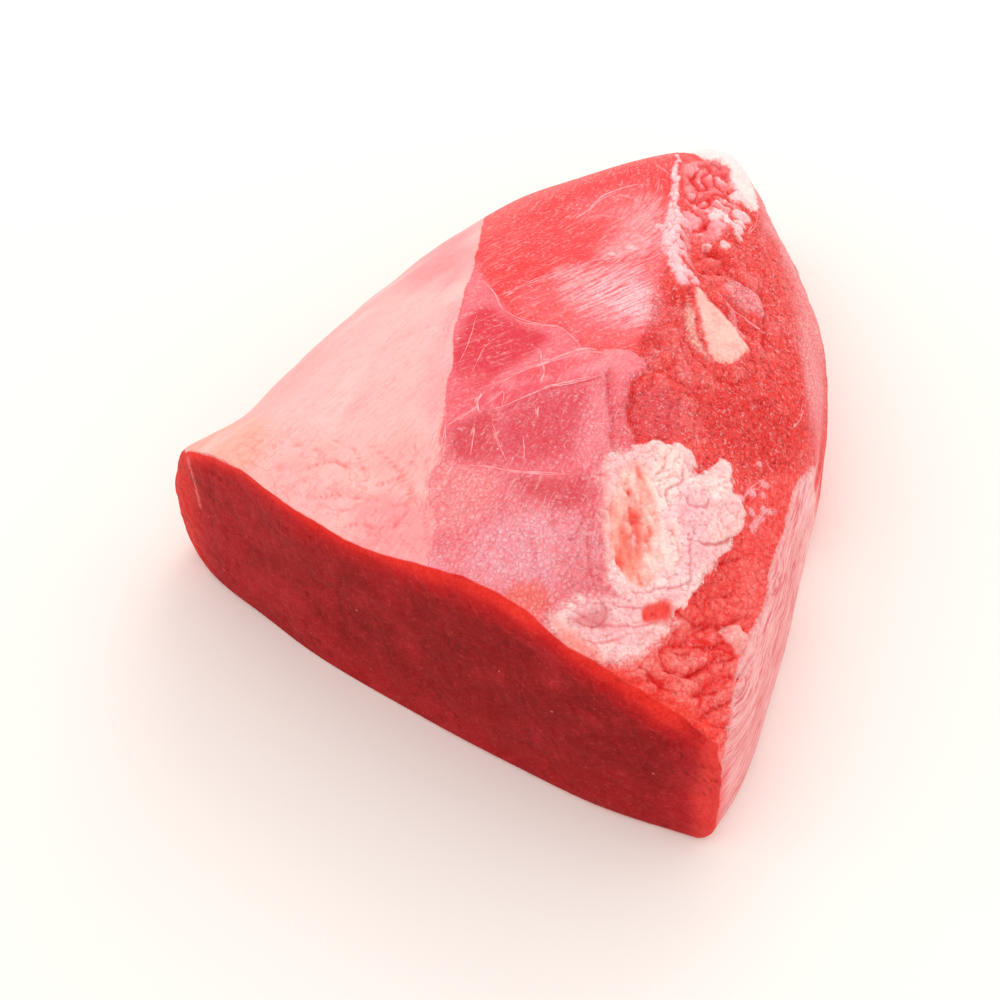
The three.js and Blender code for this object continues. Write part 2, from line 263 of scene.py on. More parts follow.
def cells(size, where, seed=0.0, at=None):
    """Rounded cells about size millimetres wide, 1 at the middles and 0 in the seams."""
    grid = (spot if at is None else at) / size + seed
    made = np.zeros(len(grid))
    chosen = np.nonzero(where > 0.01)[0]
    for i, row in zip(chosen.tolist(), grid[chosen].tolist()):
        near = noise.voronoi(row)[0]
        made[i] = near[1] - near[0]
    return np.sqrt(np.clip(made / 0.45, 0, 1))


def pushed(amount, size, seed=0.0):
    """The places of the vertices, pushed about by noise, for edges and cells that wander."""
    return spot + amount * np.stack([ripple(size, seed + k) for k in (3.1, 7.7, 12.3)], axis=1)


wander = pushed(1.0, 7.0)[:, :2] + 0.2 * np.stack((ripple(2.2, 1.3), ripple(2.2, 5.9)), axis=1)
upward = ramp(normal[:, 2], 0.02, 0.22)


def gap_to(points, closed, places):
    """Distance from each place to a line through points, and how far along the line it lies."""
    pts = np.array(points, float)
    ends = np.roll(pts, -1, axis=0) if closed else pts[1:]
    starts = pts if closed else pts[:-1]
    best = np.full(len(places), 1e9)
    share = np.zeros(len(places))
    lengths = np.linalg.norm(ends - starts, axis=1)
    so_far = np.concatenate(([0], np.cumsum(lengths)))
    for i, (a, b) in enumerate(zip(starts, ends)):
        t = np.clip((places - a) @ (b - a) / max(lengths[i] ** 2, 1e-9), 0, 1)
        d = np.linalg.norm(places - a - t[:, None] * (b - a), axis=1)
        nearer = d < best
        best[nearer] = d[nearer]
        share[nearer] = (so_far[i] + t[nearer] * lengths[i]) / so_far[-1]
    return best, share


def smooth_line(points, closed=False, steps=5):
    """The same line with extra points on a smooth curve through the given ones."""
    pts = np.array(points, float)
    n = len(pts)
    made = []
    for i in range(n if closed else n - 1):
        if closed:
            p0, p1, p2, p3 = (pts[(i + k) % n] for k in (-1, 0, 1, 2))
        else:
            p0, p1, p2, p3 = pts[max(i - 1, 0)], pts[i], pts[i + 1], pts[min(i + 2, n - 1)]
        for t in np.arange(steps) / steps:
            made.append(0.5 * (2 * p1 + (p2 - p0) * t + (2 * p0 - 5 * p1 + 4 * p2 - p3) * t**2
                               + (3 * p1 - p0 - 3 * p2 + p3) * t**3))
    return made if closed else made + [pts[-1]]


def inside(points, reach=4.0):
    """Millimetres that each place lies inside an outline drawn in plan; less than 0 outside."""
    outline = smooth_line(points, closed=True, steps=3)
    pts = np.array(outline)
    near = np.all((wander > pts.min(0) - reach) & (wander < pts.max(0) + reach), axis=1)
    found = np.full(len(wander), -reach)
    part = wander[near]
    gap, _ = gap_to(outline, True, part)
    odd = np.zeros(len(part), bool)
    for (ax, ay), (bx, by) in zip(pts, np.roll(pts, -1, axis=0)):
        crosses = (ay > part[:, 1]) != (by > part[:, 1])
        edge_x = ax + (part[:, 1] - ay) * (bx - ax) / (by - ay if by != ay else 1e-9)
        odd ^= crosses & (part[:, 0] < edge_x)
    found[near] = np.where(odd, gap, -gap)
    return np.clip(np.minimum(found, (normal[:, 2] - 0.1) * 30), -reach, None)


def patch(points, soft=1.5):
    """1 inside an outline drawn in plan, 0 outside, with an edge soft millimetres wide."""
    return ramp(inside(points, soft / 2 + 0.1), -soft / 2, soft / 2)


def band(points, width, soft=0.8, taper=0.15):
    """1 along a line drawn in plan, width millimetres wide, fading at its sides and ends."""
    line = smooth_line(points)
    pts = np.array(line)
    reach = width + soft + 1
    near = np.all((wander > pts.min(0) - reach) & (wander < pts.max(0) + reach), axis=1)
    found = np.zeros(len(wander))
    gap, share = gap_to(line, False, wander[near])
    thin = np.clip(np.minimum(share, 1 - share) / max(taper, 1e-6), 0.25, 1) if taper else 1
    found[near] = ramp(gap, width / 2 * thin + soft / 2, width / 2 * thin - soft / 2)
    return found * upward


def wash(mask, colour, strength=1.0, layer="flesh"):
    """Lays a colour over one layer of the meat's paint, as thickly as the mask says."""
    share = (mask * strength)[:, None]
    paint[layer] = paint[layer] * (1 - share) + shade(*colour) * share


def lay(gap, colour, sharp=1.0, reach=3.5):
    """Spreads film or fat over the flesh; gap is how far inside its edge each place lies."""
    global cover
    edge = gap * sharp
    wash(ramp(edge - cover, -0.5, 0.5) * (gap > -reach), colour, layer="film")
    cover = np.maximum(cover, np.where(gap > -reach, edge, -4.0))


def swell(mask, height):
    """Raises the skin by height millimetres where the mask is 1."""
    global relief
    relief = relief + mask * height


def crease(points, width=1.0, depth=0.5, colour=(205, 45, 40), strength=0.8, taper=0.2):
    """A fold line: the skin dips along it, and its bottom is painted darker red, partly painted shade in
    the fold and partly the red flesh there.
    """
    swell(band(points, width * 1.9, soft=width * 1.6, taper=taper), -depth)
    line = band(points, width * 0.7, soft=width * 0.9, taper=taper)
    for layer in ("flesh", "film"):
        wash(line, colour, strength, layer)


def mounds(places, colour, strength):
    """Soft rises of the flesh, each given as x, y, radius and height, with a painted highlight that pales
    them towards the top.
    """
    for x, y, radius, height in places:
        away = np.hypot(wander[:, 0] - x, wander[:, 1] - y)
        swell(ramp(away, radius, 0) * upward, height)
        wash(ramp(away, radius, 0) * upward, colour, strength)


def lumps(places, colour=None, flat=0.8, sharp=0.4):
    """Small round swellings, each given as x, y, radius and height, and covered with a colour."""
    global netted
    for x, y, radius, height in places:
        away = np.hypot(wander[:, 0] - x, wander[:, 1] - y)
        swell(np.clip(1 - (away / radius) ** 2, 0, 1) * upward, height)
        netted = netted * ramp(away, radius - 1, radius + 1)
        if colour:
            lay(np.where(upward > 0.5, radius * flat - away, -4.0), colour, sharp, 2.5)


# The right muscle runs from the point down the right side, bare red flesh with a coarse wet
# crinkle. It is the ground colour of the top, and every other patch is laid over it.
RIGHT_MUSCLE = (254, 100, 94)
RIGHT_MUSCLE_DEEP = (228, 46, 42)
RIGHT_MUSCLE_LIGHT = (253, 122, 114)
DEEP_PATCH = [(46, -34), (52, -14), (62, -2), (74, -4), (80, -20), (76, -32), (66, -36), (55, -38)]
LIGHT_EDGE = [(40, 66), (52, 52), (62, 34), (72, 8), (80, -14), (90, -52), (98, -68), (110, -60),
              (104, -20), (96, 22), (84, 52), (60, 80)]
LILAC_NET = [(31, -48), (30, -38), (36, -34), (44, -33), (49, -44), (50, -52), (44, -58), (37, -55)]

wash(upward, RIGHT_MUSCLE)
mottle = ripple(5.0, 2.0) + 0.6 * ripple(2.4, 9.0)
wash(ramp(mottle, 0.05, 0.7), RIGHT_MUSCLE_LIGHT, 0.4)
wash(ramp(mottle, -0.05, -0.7), RIGHT_MUSCLE_DEEP, 0.4)
wash(patch(LIGHT_EDGE, 12), RIGHT_MUSCLE_LIGHT, 0.35)
wash(patch(DEEP_PATCH, 15), RIGHT_MUSCLE_DEEP, 0.55)
wash(patch([(38, -36), (46, -30), (56, -38), (54, -46), (44, -46)], 10), (252, 136, 132), 0.6)
wash(patch(LILAC_NET, 8), (236, 92, 100), 0.75)
wash(upward * ramp(normal[:, 0], 0.45, 0.85) * ramp(spot[:, 1], -6, 10), (240, 40, 34), 0.75)
right = upward * ramp(spot[:, 0] + 0.35 * spot[:, 1], 4, 14)
crinkle = cells(3.6, right, 1.0, pushed(1.6, 5.0, 20.0))
swell(right * (crinkle - 0.6) * ramp(normal[:, 2], 0.4, 0.7), 0.8)
swell(right * mottle, 0.45)
# Painted shade: the low seams between the crinkle cells are painted dark red.
for layer in ("flesh", "film"):
    wash(right * ramp(crinkle, 0.45, 0.05), (190, 26, 32), 0.7, layer)
netted = np.maximum(netted, 0.85 * right)
glinting = np.maximum(glinting, 0.9 * right)
streaky = np.maximum(streaky, 0.35 * upward)

# The upper muscle lies behind the middle, clear red with pale fibres that run in long arcs.
# A clear skin holds it, with a pale painted sheen where the lamp reflects in it and a painted grazing
# sheen along the far edge.
UPPER_MUSCLE = (250, 73, 75)
UPPER_PALE = (254, 156, 160)
UPPER_ROSE = (253, 108, 111)
ARC_CENTRE = np.array((-126.0, 35.0))
UPPER_OUTLINE = [(-76, 26), (-58, -7), (-46, -17.5), (-35.5, -25.5), (-21, -33), (-6, -30.5),
                 (7, -36.5), (18, -29), (20, -20), (15, -4), (8, 14), (0, 36), (-10, 60), (-18, 78),
                 (-30, 100), (-60, 100), (-110, 60)]
UPPER_LIGHT = [(-14, 10), (-2, 14), (2, 26), (-4, 38), (-14, 56), (-22, 62), (-24, 44), (-18, 24)]
UPPER_LOW = [(-30, -20), (-20, -10), (-12, 6.5), (-5, 15), (0, 28), (8, 16), (15, -4), (20, -22),
             (7, -34), (-6, -30), (-21, -32)]
FILM_SHEEN = [(-24, -4), (-13, 4), (-3, 13), (8, 9), (16, -6), (14, -18), (1, -21), (-12, -17)]
FILM_SHEEN_HEART = [(-9, -5), (0, 3), (9, 6), (15, -1), (13, -11), (-2, -12)]

upper = patch(UPPER_OUTLINE, 2.0)
wash(patch(UPPER_OUTLINE, 1.6), UPPER_MUSCLE)
wash(patch(UPPER_LIGHT, 14), UPPER_PALE, 0.7)
wash(patch(UPPER_LOW, 5), UPPER_ROSE, 0.85)
wash(patch([(-44, 40), (-34, 64), (-22, 60), (-24, 44), (-34, 32)], 12), UPPER_PALE, 0.3)
# Painted sheen: the lamp's pale reflection in the wet skin, laid into the colour here and again as
# streaks in the material through the sheen attribute, which also reaches over the paler upper patch.
wash(patch(FILM_SHEEN, 10), (252, 138, 146), 0.7)
wash(patch([(4, 2), (10, 6), (16, -2), (14, -12), (6, -8)], 7), (253, 180, 184), 0.8)
sheen = 0.5 * patch(FILM_SHEEN, 10) + 0.45 * patch(FILM_SHEEN_HEART, 6) + 0.4 * patch(UPPER_LIGHT, 14)
wash(band([(-3, -26), (6, -20), (14, -16)], 7, 5), (240, 112, 124), 0.5)
fold_over = [(-20, -10), (-15.5, -2), (-12, 6.5), (-5.5, 15.5), (-1.5, 26), (1, 33)]
crease(fold_over, 1.3, 0.8, (232, 44, 50), 0.75)
lumps([(-8.5, 21.5, 3.0, 0.9), (-11.5, 14, 2.0, 0.4)], (255, 205, 205), 0.7, 0.5)
arcing = np.maximum(arcing, upper)
streaky = np.maximum(streaky, upper)
netted = netted * (1 - upper)
glinting = glinting * (1 - upper) + 0.75 * upper
veined = 0.5 * upper
# Painted grazing sheen: a pale rim on skin turned up and away to the back, where the bright room reflects
# at a low angle.
far_edge_sheen = ramp(normal[:, 2], 0.74, 0.5) * ramp(normal[:, 1], 0.25, 0.5) * ramp(spot[:, 2], 30, 50)
wash(far_edge_sheen, (255, 190, 190), 0.8)

# The lens is a flat dark pink muscle under a clear film, left of the middle. A pale line of
# film bounds it, and below it lies a second one, divided off by an arc of white film.
LENS = (228, 68, 82)
LENS_EDGE = (243, 124, 134)
LENS_OUTLINE = [(-58, -5), (-46, -17.5), (-35.5, -25.5), (-28.5, -30.5), (-21, -33), (-13.5, -32.5),
                (-6, -30.5), (0, -32.5), (7, -36.5), (4, -43), (-1.5, -49), (-6, -54), (-12.5, -66),
                (-18, -84), (-24, -78), (-30, -64), (-37, -50), (-43, -37), (-50, -22)]
LENS_HEART = [(-33, -57), (-25, -64.5), (-15, -66.5), (-12.5, -56.5), (-8.5, -46), (-8, -36),
              (-23.5, -34.5), (-35, -31), (-39, -35), (-36, -46)]
ARC_FILM = [(-18, -84.5), (-12.5, -66), (-9.5, -60), (-6, -54), (-1.5, -49), (2.5, -43), (7.5, -38),
            (13, -35), (18, -30), (24, -26), (26, -33), (20, -40), (15.5, -45.5), (10, -51.5),
            (5, -56.5), (0.5, -63.5), (-3.5, -70.5), (-8.5, -74), (-11, -79)]
SECOND_OUTLINE = [(-17, -86), (-11, -79), (-8, -73), (-3.5, -70.5), (0.5, -63.5), (5, -56.5),
                  (10, -51.5), (15.5, -45.5), (19.5, -40), (24.5, -44), (28, -50), (34, -57.5),
                  (40, -67), (40, -76), (32.5, -84), (24.5, -87.5), (11.5, -91), (-6, -97)]
SECOND_DARK = [(0, -69), (6, -60), (14, -51), (20, -52), (24, -62), (27, -76), (16, -85), (4, -88)]

wash(patch(LENS_OUTLINE, 1.6), LENS_EDGE)
wash(patch(LENS_HEART, 5), LENS)
wash(patch([(-26, -62), (-16, -60), (-12, -67), (-20, -78)], 6), (242, 104, 112), 0.6)
wash(patch(ARC_FILM, 1.5), (236, 98, 110))
wash(patch(ARC_FILM, 2.0) * ramp(ripple(4.5, 21.0), -0.1, 0.5), (250, 150, 158), 0.6)
wash(patch([(4, -44), (12, -37), (24, -28), (26, -34), (16, -44), (8, -50)], 6), (250, 144, 152), 0.8)
wash(patch([(-4, -52), (4, -44), (12, -38), (8, -46), (0, -55)], 3), (238, 92, 100), 0.8)
wash(patch(SECOND_OUTLINE, 1.6), (241, 128, 138))
wash(patch(SECOND_DARK, 10), (226, 88, 102), 0.85)
wash(patch([(-14, -84), (-10, -78), (-5, -74), (0, -82), (4, -88), (-6, -94)], 5), (224, 80, 90), 0.8)
wash(patch([(20, -46), (34, -58), (39, -70), (34, -80), (24, -66)], 9), (249, 158, 168), 0.7)
lens = patch(LENS_OUTLINE, 2.0)
second = patch(SECOND_OUTLINE, 2.0)
films = np.maximum(np.maximum(lens, second), patch(ARC_FILM, 2.0))
arcing = np.maximum(arcing * (1 - second), lens)
streaky = np.maximum(streaky, 0.7 * films)
netted = netted * (1 - films) + 0.25 * second
glinting = glinting * (1 - films) + 0.5 * films + 0.2 * lens + 0.35 * second
veined = np.maximum(veined * (1 - films), 0.5 * second)
swell(patch(LENS_OUTLINE, 5.0), -0.5)
swell(patch(SECOND_OUTLINE, 5.0), -0.5)
lower_arc = [(-8.5, -73.5), (-3.5, -70.5), (0.5, -63.5), (5, -56.5), (10, -51.5), (15.5, -45.5),
             (19, -41)]
crease([(x + 0.8, y - 0.9) for x, y in lower_arc], 1.1, 0.5, (222, 66, 76), 0.7)
crease([(-35, -26.5), (-28, -31.5), (-21, -34), (-13, -33.5)], 0.8, 0.3, (236, 96, 104), 0.5)

# The lower middle is covered by a milky silver-pink skin, thin enough for the flesh to show.
# It creases lengthways, and lies deep red just under the line that ends the second lens.
MIDDLE = (243, 142, 151)
MIDDLE_OUTLINE = [(-21, -84), (-6, -97), (3.5, -93), (11.5, -91), (24.5, -87.5), (32.5, -84),
                  (41, -70), (50, -72), (60, -90), (66, -104), (70, -112), (78, -106), (82, -114),
                  (72, -128), (60, -140), (-5, -140), (-12, -120), (-14, -100)]
MIDDLE_WASHES = (
    ([(-18, -90), (-4, -96), (10, -95), (14, -106), (6, -118), (-8, -112)], 7, (251, 166, 166), 0.85),
    ([(14, -92), (26, -89), (38, -82), (42, -92), (36, -98), (22, -98)], 7, (226, 92, 102), 0.9),
    ([(16, -114), (30, -102), (40, -98), (50, -94), (54, -106), (44, -122), (22, -128)], 10,
     (246, 178, 188), 0.9),
    ([(44, -98), (52, -104), (54, -114), (46, -118), (40, -108)], 7, (242, 140, 146), 0.5),
    ([(-4, -128), (8, -126), (14, -132), (4, -136)], 4, (250, 178, 190), 0.8),
)
middle = patch(MIDDLE_OUTLINE, 2.5)
wash(patch(MIDDLE_OUTLINE, 2.0), MIDDLE)
for outline, soft, colour, strength in MIDDLE_WASHES:
    wash(patch(outline, soft), colour, strength)
streaky = np.maximum(streaky, 0.75 * middle)
arcing = arcing * (1 - middle)
netted = netted * (1 - middle) + 0.5 * middle
veined = np.maximum(veined, 0.6 * middle)
glinting = glinting * (1 - middle) + 0.75 * middle
wet = np.maximum(wet, 0.9 * middle)
swell(middle * ripple(9.0, 40.0, spot * (1.0, 0.35, 1.0)), 0.6)
for line, width, depth, colour, strength in (
    ([(33.5, -95.5), (35.5, -101), (40, -104.5), (45, -103.5), (44.5, -97), (43.5, -91.5)],
     0.8, 0.4, (206, 74, 92), 0.7),
    ([(44, -80), (45, -89), (49, -99), (54, -107), (60, -113)], 0.9, 0.4, (226, 98, 106), 0.6),
    ([(41, -76), (42, -86), (47, -97), (52, -104)], 0.9, 0.4, (232, 108, 116), 0.5),
    ([(32, -107), (36, -112), (40, -118), (46, -122)], 0.9, 0.3, (220, 100, 116), 0.5),
    ([(25, -92), (24, -98), (26, -103)], 0.8, 0.3, (206, 76, 90), 0.5),
    ([(20, -98), (20, -106), (22, -114), (22, -122)], 0.8, 0.3, (226, 108, 120), 0.4),
    ([(8, -104), (7, -114), (4, -122)], 0.8, 0.3, (232, 112, 118), 0.4),
    ([(-4, -100), (-4, -108), (-8, -113)], 0.9, 0.4, (238, 96, 96), 0.5),
):
    crease(line, width, depth, colour, strength)

# The left flank wears a thick pale pink skin, nearly dry and smooth. Near the front edge it
# gathers into fine creases, painted red along their bottoms for shade and the flesh showing there, and it
# goes on down the left side to the board.
FLANK = (255, 190, 184)
FLANK_OUTLINE = [(-78, 30), (-70, 16.5), (-56.5, -8), (-49.5, -23.5), (-41.5, -40.5), (-37, -49.5),
                 (-30.5, -60), (-28, -67), (-22.5, -77.5), (-17.5, -87.5), (-12, -96),
                 (-11, -104), (-6.5, -110), (0, -116), (4, -124), (8, -136), (0, -146), (-140, -146),
                 (-140, 40), (-100, 60)]
FLANK_WASHES = (
    ([(-84, 24), (-64, 4), (-56, -20), (-70, -26), (-88, -10)], 16, (248, 146, 150), 0.8),
    ([(-46, -32), (-38, -46), (-28, -66), (-20, -84), (-30, -80), (-42, -54)], 8, (250, 164, 166), 0.7),
    ([(-100, -134), (-74, -136), (-66, -118), (-90, -98), (-104, -110)], 10, (255, 176, 156), 0.8),
    ([(-28, -90), (-16, -92), (-10, -106), (-22, -112), (-34, -104)], 7, (255, 176, 172), 0.7),
    ([(-26, -118), (-10, -112), (2, -118), (8, -132), (-20, -134)], 7, (248, 158, 160), 0.9),
    ([(-60, -124), (-40, -118), (-26, -124), (-40, -132)], 6, (255, 184, 182), 0.6),
)
gap = inside(FLANK_OUTLINE)
left_side = ramp(normal[:, 0], -0.25, -0.5) * ramp(spot[:, 1], 34, 20) * ramp(normal[:, 2], 0.35, 0.2)
gap = np.maximum(gap, np.where(left_side > 0.5, 4.0, -4.0))
lay(gap, FLANK)
flank = ramp(gap, -0.5, 1.5)
wash(flank * ramp(spot[:, 2], 84, 66), (252, 168, 166), 0.5, "film")
for outline, soft, colour, strength in FLANK_WASHES:
    wash(patch(outline, soft), colour, strength, "film")
wash(flank * ramp(ripple(12.0, 60.0, spot * (1.0, 0.4, 1.0)), 0.0, 0.6), (255, 208, 200), 0.5, "film")
wash(flank * ramp(ripple(9.0, 70.0, spot * (1.0, 0.4, 1.0)), 0.1, 0.7), (250, 158, 158), 0.4, "film")
wash(left_side * ramp(spot[:, 2], 40, 8), (244, 142, 138), 0.7, "film")
NET = [(-80, -112), (-56, -112), (-36, -104), (-22, -98), (-12, -104), (0, -116), (4, -128),
       (-30, -134), (-56, -134), (-80, -130)]
netted = netted * (1 - flank)
veined = veined * (1 - flank) + 0.9 * flank * patch(NET, 14) + 0.12 * flank
glinting = glinting * (1 - flank) + 0.15 * flank
streaky = streaky * (1 - flank) + 0.45 * flank
arcing = arcing * (1 - flank)
wet = wet * (1 - flank) + 0.2 * flank
swell(flank * ripple(14.0, 80.0), 0.7)
for line in (
    [(-60, -124), (-52, -121), (-44, -113), (-34, -110)],
    [(-40, -127), (-33, -125), (-28, -121), (-22, -117), (-15.5, -116), (-11.5, -112.5)],
    [(-20, -130), (-14, -126), (-11, -119), (-13.5, -109.5), (-20, -104)],
    [(-30, -131), (-24, -127), (-17, -125), (-11, -122)],
    [(-46, -128), (-38, -122), (-30, -119), (-24, -117.5)],
    [(-36, -101), (-27, -103), (-18, -107), (-12, -111.5), (-6, -112.5), (-1, -116)],
    [(-24, -92), (-20, -98), (-19, -104), (-22, -110), (-28, -114)],
    [(-50, -107), (-42, -105), (-35, -108), (-30, -113)],
    [(-6, -113), (-2, -119), (2, -124)],
    [(-70, -122), (-62, -116), (-54, -112), (-46, -112)],
):
    crease(line, 0.8, 0.4, (240, 104, 104), 0.6)

# The seam rope is a white cord of knotty film that ties the muscles from the point to the
# fat wedge. Round the point the flesh is drawn up into a ring of pink knobs and red pits, partly painted
# highlight and shade.
APEX_RING = [(-19, 80), (-24, 96), (-21, 105), (-14, 105), (-7, 98.5), (1, 86), (3.5, 75), (8, 64),
             (6, 55), (0, 52), (-5, 58), (-11, 70)]
APEX_FLESH = (254, 120, 122)
ROPE = [(-31, 96), (-21.5, 76), (-15.5, 64), (-8.5, 53), (-3.5, 41.5), (2, 32), (8.5, 24.5), (15, 18)]
KNOT_PINK = (255, 204, 208)
KNOT_PALE = (255, 228, 226)
CAP = [(-36, 104), (-28, 104.5), (-20, 104), (-12, 102), (-5.5, 95.5), (2, 90), (5, 95), (-2, 107),
       (-10, 116), (-20, 124), (-34, 118)]

apex = patch(APEX_RING, 3.0)
wash(apex, APEX_FLESH)
crags = ridges(7.5, 31.0, pushed(5.0, 9.0, 44.0))
buds = cells(3.8, apex, 33.0, pushed(2.0, 5.0, 47.0))
swell(apex * (crags - 0.4), 2.0)
swell(apex * (buds - 0.5), 0.6)
# Painted highlight and shade: the crag tops are painted paler, and the pits and bud seams darker red
# along with the red flesh there.
wash(apex * ramp(crags, 0.2, 0.9), (255, 164, 167), 0.75)
wash(apex * ramp(crags, 0.25, 0.02), (230, 36, 38), 0.85)
wash(apex * ramp(buds, 0.4, 0.1), (242, 74, 78), 0.5)
wash(apex * ramp(ripple(6.0, 48.0), -0.1, 0.3) * ramp(crags, 0.25, 0.6), (255, 206, 208), 0.8)
streaky = streaky * (1 - apex)
glinting = glinting * (1 - apex) + 0.25 * apex
swell(band([(-20, 80), (-25, 96), (-20.5, 104), (-13, 103), (-6, 96), (0, 88)], 3.2, 2.5, 0.1), 1.2)
wash(band([(-20, 80), (-25, 96), (-20.5, 104), (-13, 103), (-6, 96), (0, 88)], 2.6, 2.0, 0.1),
     (254, 160, 160), 0.8)
crease([(-17, 78), (-20, 92), (-16, 99), (-10, 96), (-4, 88), (-1, 80)], 1.3, 0.9, (226, 40, 42), 0.8)
crease([(-14, 72), (-8, 76), (-2, 76), (2, 70)], 1.1, 0.8, (220, 36, 38), 0.8)
crease([(-9, 66), (-4, 66), (0, 62), (6, 60)], 1.1, 0.8, (214, 32, 34), 0.9)
lay(inside(CAP), (255, 232, 228), 0.6)
cap = patch(CAP, 4)
wash(cap, (255, 238, 234), 0.7, "film")
swell(cap, 0.6)
netted = netted * (1 - 0.8 * cap)
glinting = glinting * (1 - 0.8 * cap)
rope_gap = gap_to(smooth_line(ROPE), False, wander)[0]
rope_width = 0.9 + 2.0 * ramp(spot[:, 1], 66, 50) - 1.2 * ramp(spot[:, 1], 26, 18)
lay(np.clip(rope_width + 1.2 * ripple(4.5, 52.0) - rope_gap, -4, 4), KNOT_PINK, 0.45)
knots = cells(3.6, ramp(rope_gap, 6, 4), 53.0, pushed(1.2, 4.0, 54.0))
swell(ramp(rope_gap, 3.4, 0.4) * (0.3 + knots), 1.3)
wash(ramp(rope_gap, 5, 2) * ramp(knots, 0.45, 0.1), (242, 84, 88), 0.8, "film")
# Painted highlight: pale dabs on the crests of the knots.
crests = ramp(knots, 0.4, 0.8) * ramp(ripple(5.0, 59.0), 0, 0.4)
wash(ramp(rope_gap, 5, 2) * crests, (255, 222, 224), 0.8, "film")
netted = netted * ramp(rope_gap, 1.5, 4)
glinting = glinting * ramp(rope_gap, 0, 4)
crease([(-27, 82), (-20, 67), (-14, 54), (-8, 43), (-3, 34)], 0.9, 0.5, (236, 62, 66), 0.6)
lumps([(-5.5, 55, 3.4, 1.6), (-9.5, 44, 3.0, 1.0), (2, 38.5, 2.8, 1.2), (5.5, 34, 2.6, 1.1),
       (13.5, 23, 2.4, 1.2), (17.5, 22.5, 2.2, 1.1), (8, 26, 2.4, 1.0), (-2, 46, 2.6, 1.1)], KNOT_PINK)
lumps([(-3, 97, 2.4, 1.2), (2.5, 90, 2.6, 1.2), (6, 82, 2.4, 1.0), (8, 75, 2.6, 1.2),
       (12, 66, 2.4, 1.1), (11, 57, 2.4, 1.0), (6, 52.5, 2.2, 1.0), (-17, 66, 2.0, 0.8),
       (1, 68, 3.0, 0.9), (4.5, 70, 2.6, 0.8)], KNOT_PALE)
lumps([(4, 63, 4.4, 1.1), (-6, 61, 4.4, 1.1)], (255, 176, 180), 0.8, 0.3)
lumps([(-1, 91, 4.6, 1.0), (-6, 98, 3.6, 0.9), (5, 81, 3.8, 0.9), (9, 70, 3.2, 0.8),
       (-1, 74, 2.8, 0.7)], (255, 224, 224), 0.8, 0.3)
lumps([(-9, 84, 3.0, 1.1), (-4, 79, 2.6, 0.9), (-14, 90, 2.8, 1.1), (-8, 92, 2.4, 0.8),
       (5, 46.5, 3.2, 1.2), (10.5, 42.5, 3.4, 1.2), (18.5, 34, 3.4, 1.2), (25, 32, 3.2, 1.2)])
RIGHT_LOBE = [(24, 37), (30, 38.5), (37, 38), (42, 33), (37, 28), (30.5, 28.5), (25, 31.5)]
wash(patch(RIGHT_LOBE, 3), (253, 180, 182), 0.8)
swell(patch(RIGHT_LOBE, 4), 1.5)
for line in (
    [(3.5, 42), (5.5, 50), (13, 48), (20.5, 43.5), (28, 40.5), (36, 40), (44, 36)],
    [(18, 27), (24, 27), (31, 25.5), (38, 22), (45, 20)],
    [(32.5, 45.5), (39, 37), (44.5, 26.5)],
    [(5, 52), (10, 50), (16, 52)],
    [(12, 33), (15, 38), (20, 40)],
    [(44, 26), (50, 18), (54, 8)],
):
    crease(line, 1.8, 1.5, (228, 30, 28), 0.9)
mounds([(28, 45, 7, 1.26), (12, 46, 5, 1.12), (20, 37, 5, 1.26), (46, 34, 6, 1.12), (34, 22, 5, 0.98),
        (50, 16, 6, 0.84)], (255, 150, 146), 0.65)

# The wedge is a smooth cream blade of fat between red folds, below the rope. A strip of pale
# film leads on from it down to the fat patch, between two dark fold lines.
WEDGE = [(19.5, 18), (22.5, 19), (27, 16), (32, 14), (39.5, 12.5), (45, 9.5), (47.5, 7), (47, -1.5),
         (43, -9), (38.5, -5), (32.5, 2), (26.5, 9)]
STRIP = [(13, -34), (18, -28.5), (24, -25.5), (28, -29), (27.5, -37.5), (30.5, -46), (35, -53.5),
         (42, -61), (41, -67), (34, -57.5), (28, -50), (24.5, -44), (20, -38.5)]
STRIP_PINK = (250, 138, 146)

lay(inside(WEDGE) + 0.8 * ripple(3.0, 58.0), (255, 204, 190), 0.35)
along = np.stack((spot[:, 0] * 0.82 - spot[:, 1] * 0.58, spot[:, 0] * 0.58 + spot[:, 1] * 0.82,
                  spot[:, 2]), axis=1)
grain = ramp(ripple(2.6, 57.0, along * (0.35, 1.0, 0.5)), 0.0, 0.5)
wash(patch(WEDGE, 3) * grain, (255, 176, 158), 0.5, "film")
swell(patch(WEDGE, 3.5), 1.1)
wash(patch([(24, 17), (30, 14), (30, 8), (25, 12)], 3), (255, 186, 174), 0.7, "film")
wedge = patch(WEDGE, 3.0)
netted = netted * (1 - 0.6 * wedge)
glinting = glinting * (1 - 0.75 * wedge)
swell(band([(23, 9), (29, -1), (36, -8), (42, -11)], 3.4, 2.5), 0.9)
wash(band([(22, 10), (28, 0.5), (35, -6.5), (41, -10)], 3.8, 2.0), (255, 200, 184), 0.95)
lay(inside(STRIP), STRIP_PINK, 0.5)
swell(patch(STRIP, 2.5), 0.6)
wash(band([(24, -28), (28, -18), (34, -14), (38, -22), (44, -26)], 4, 3), (253, 150, 150), 0.6)
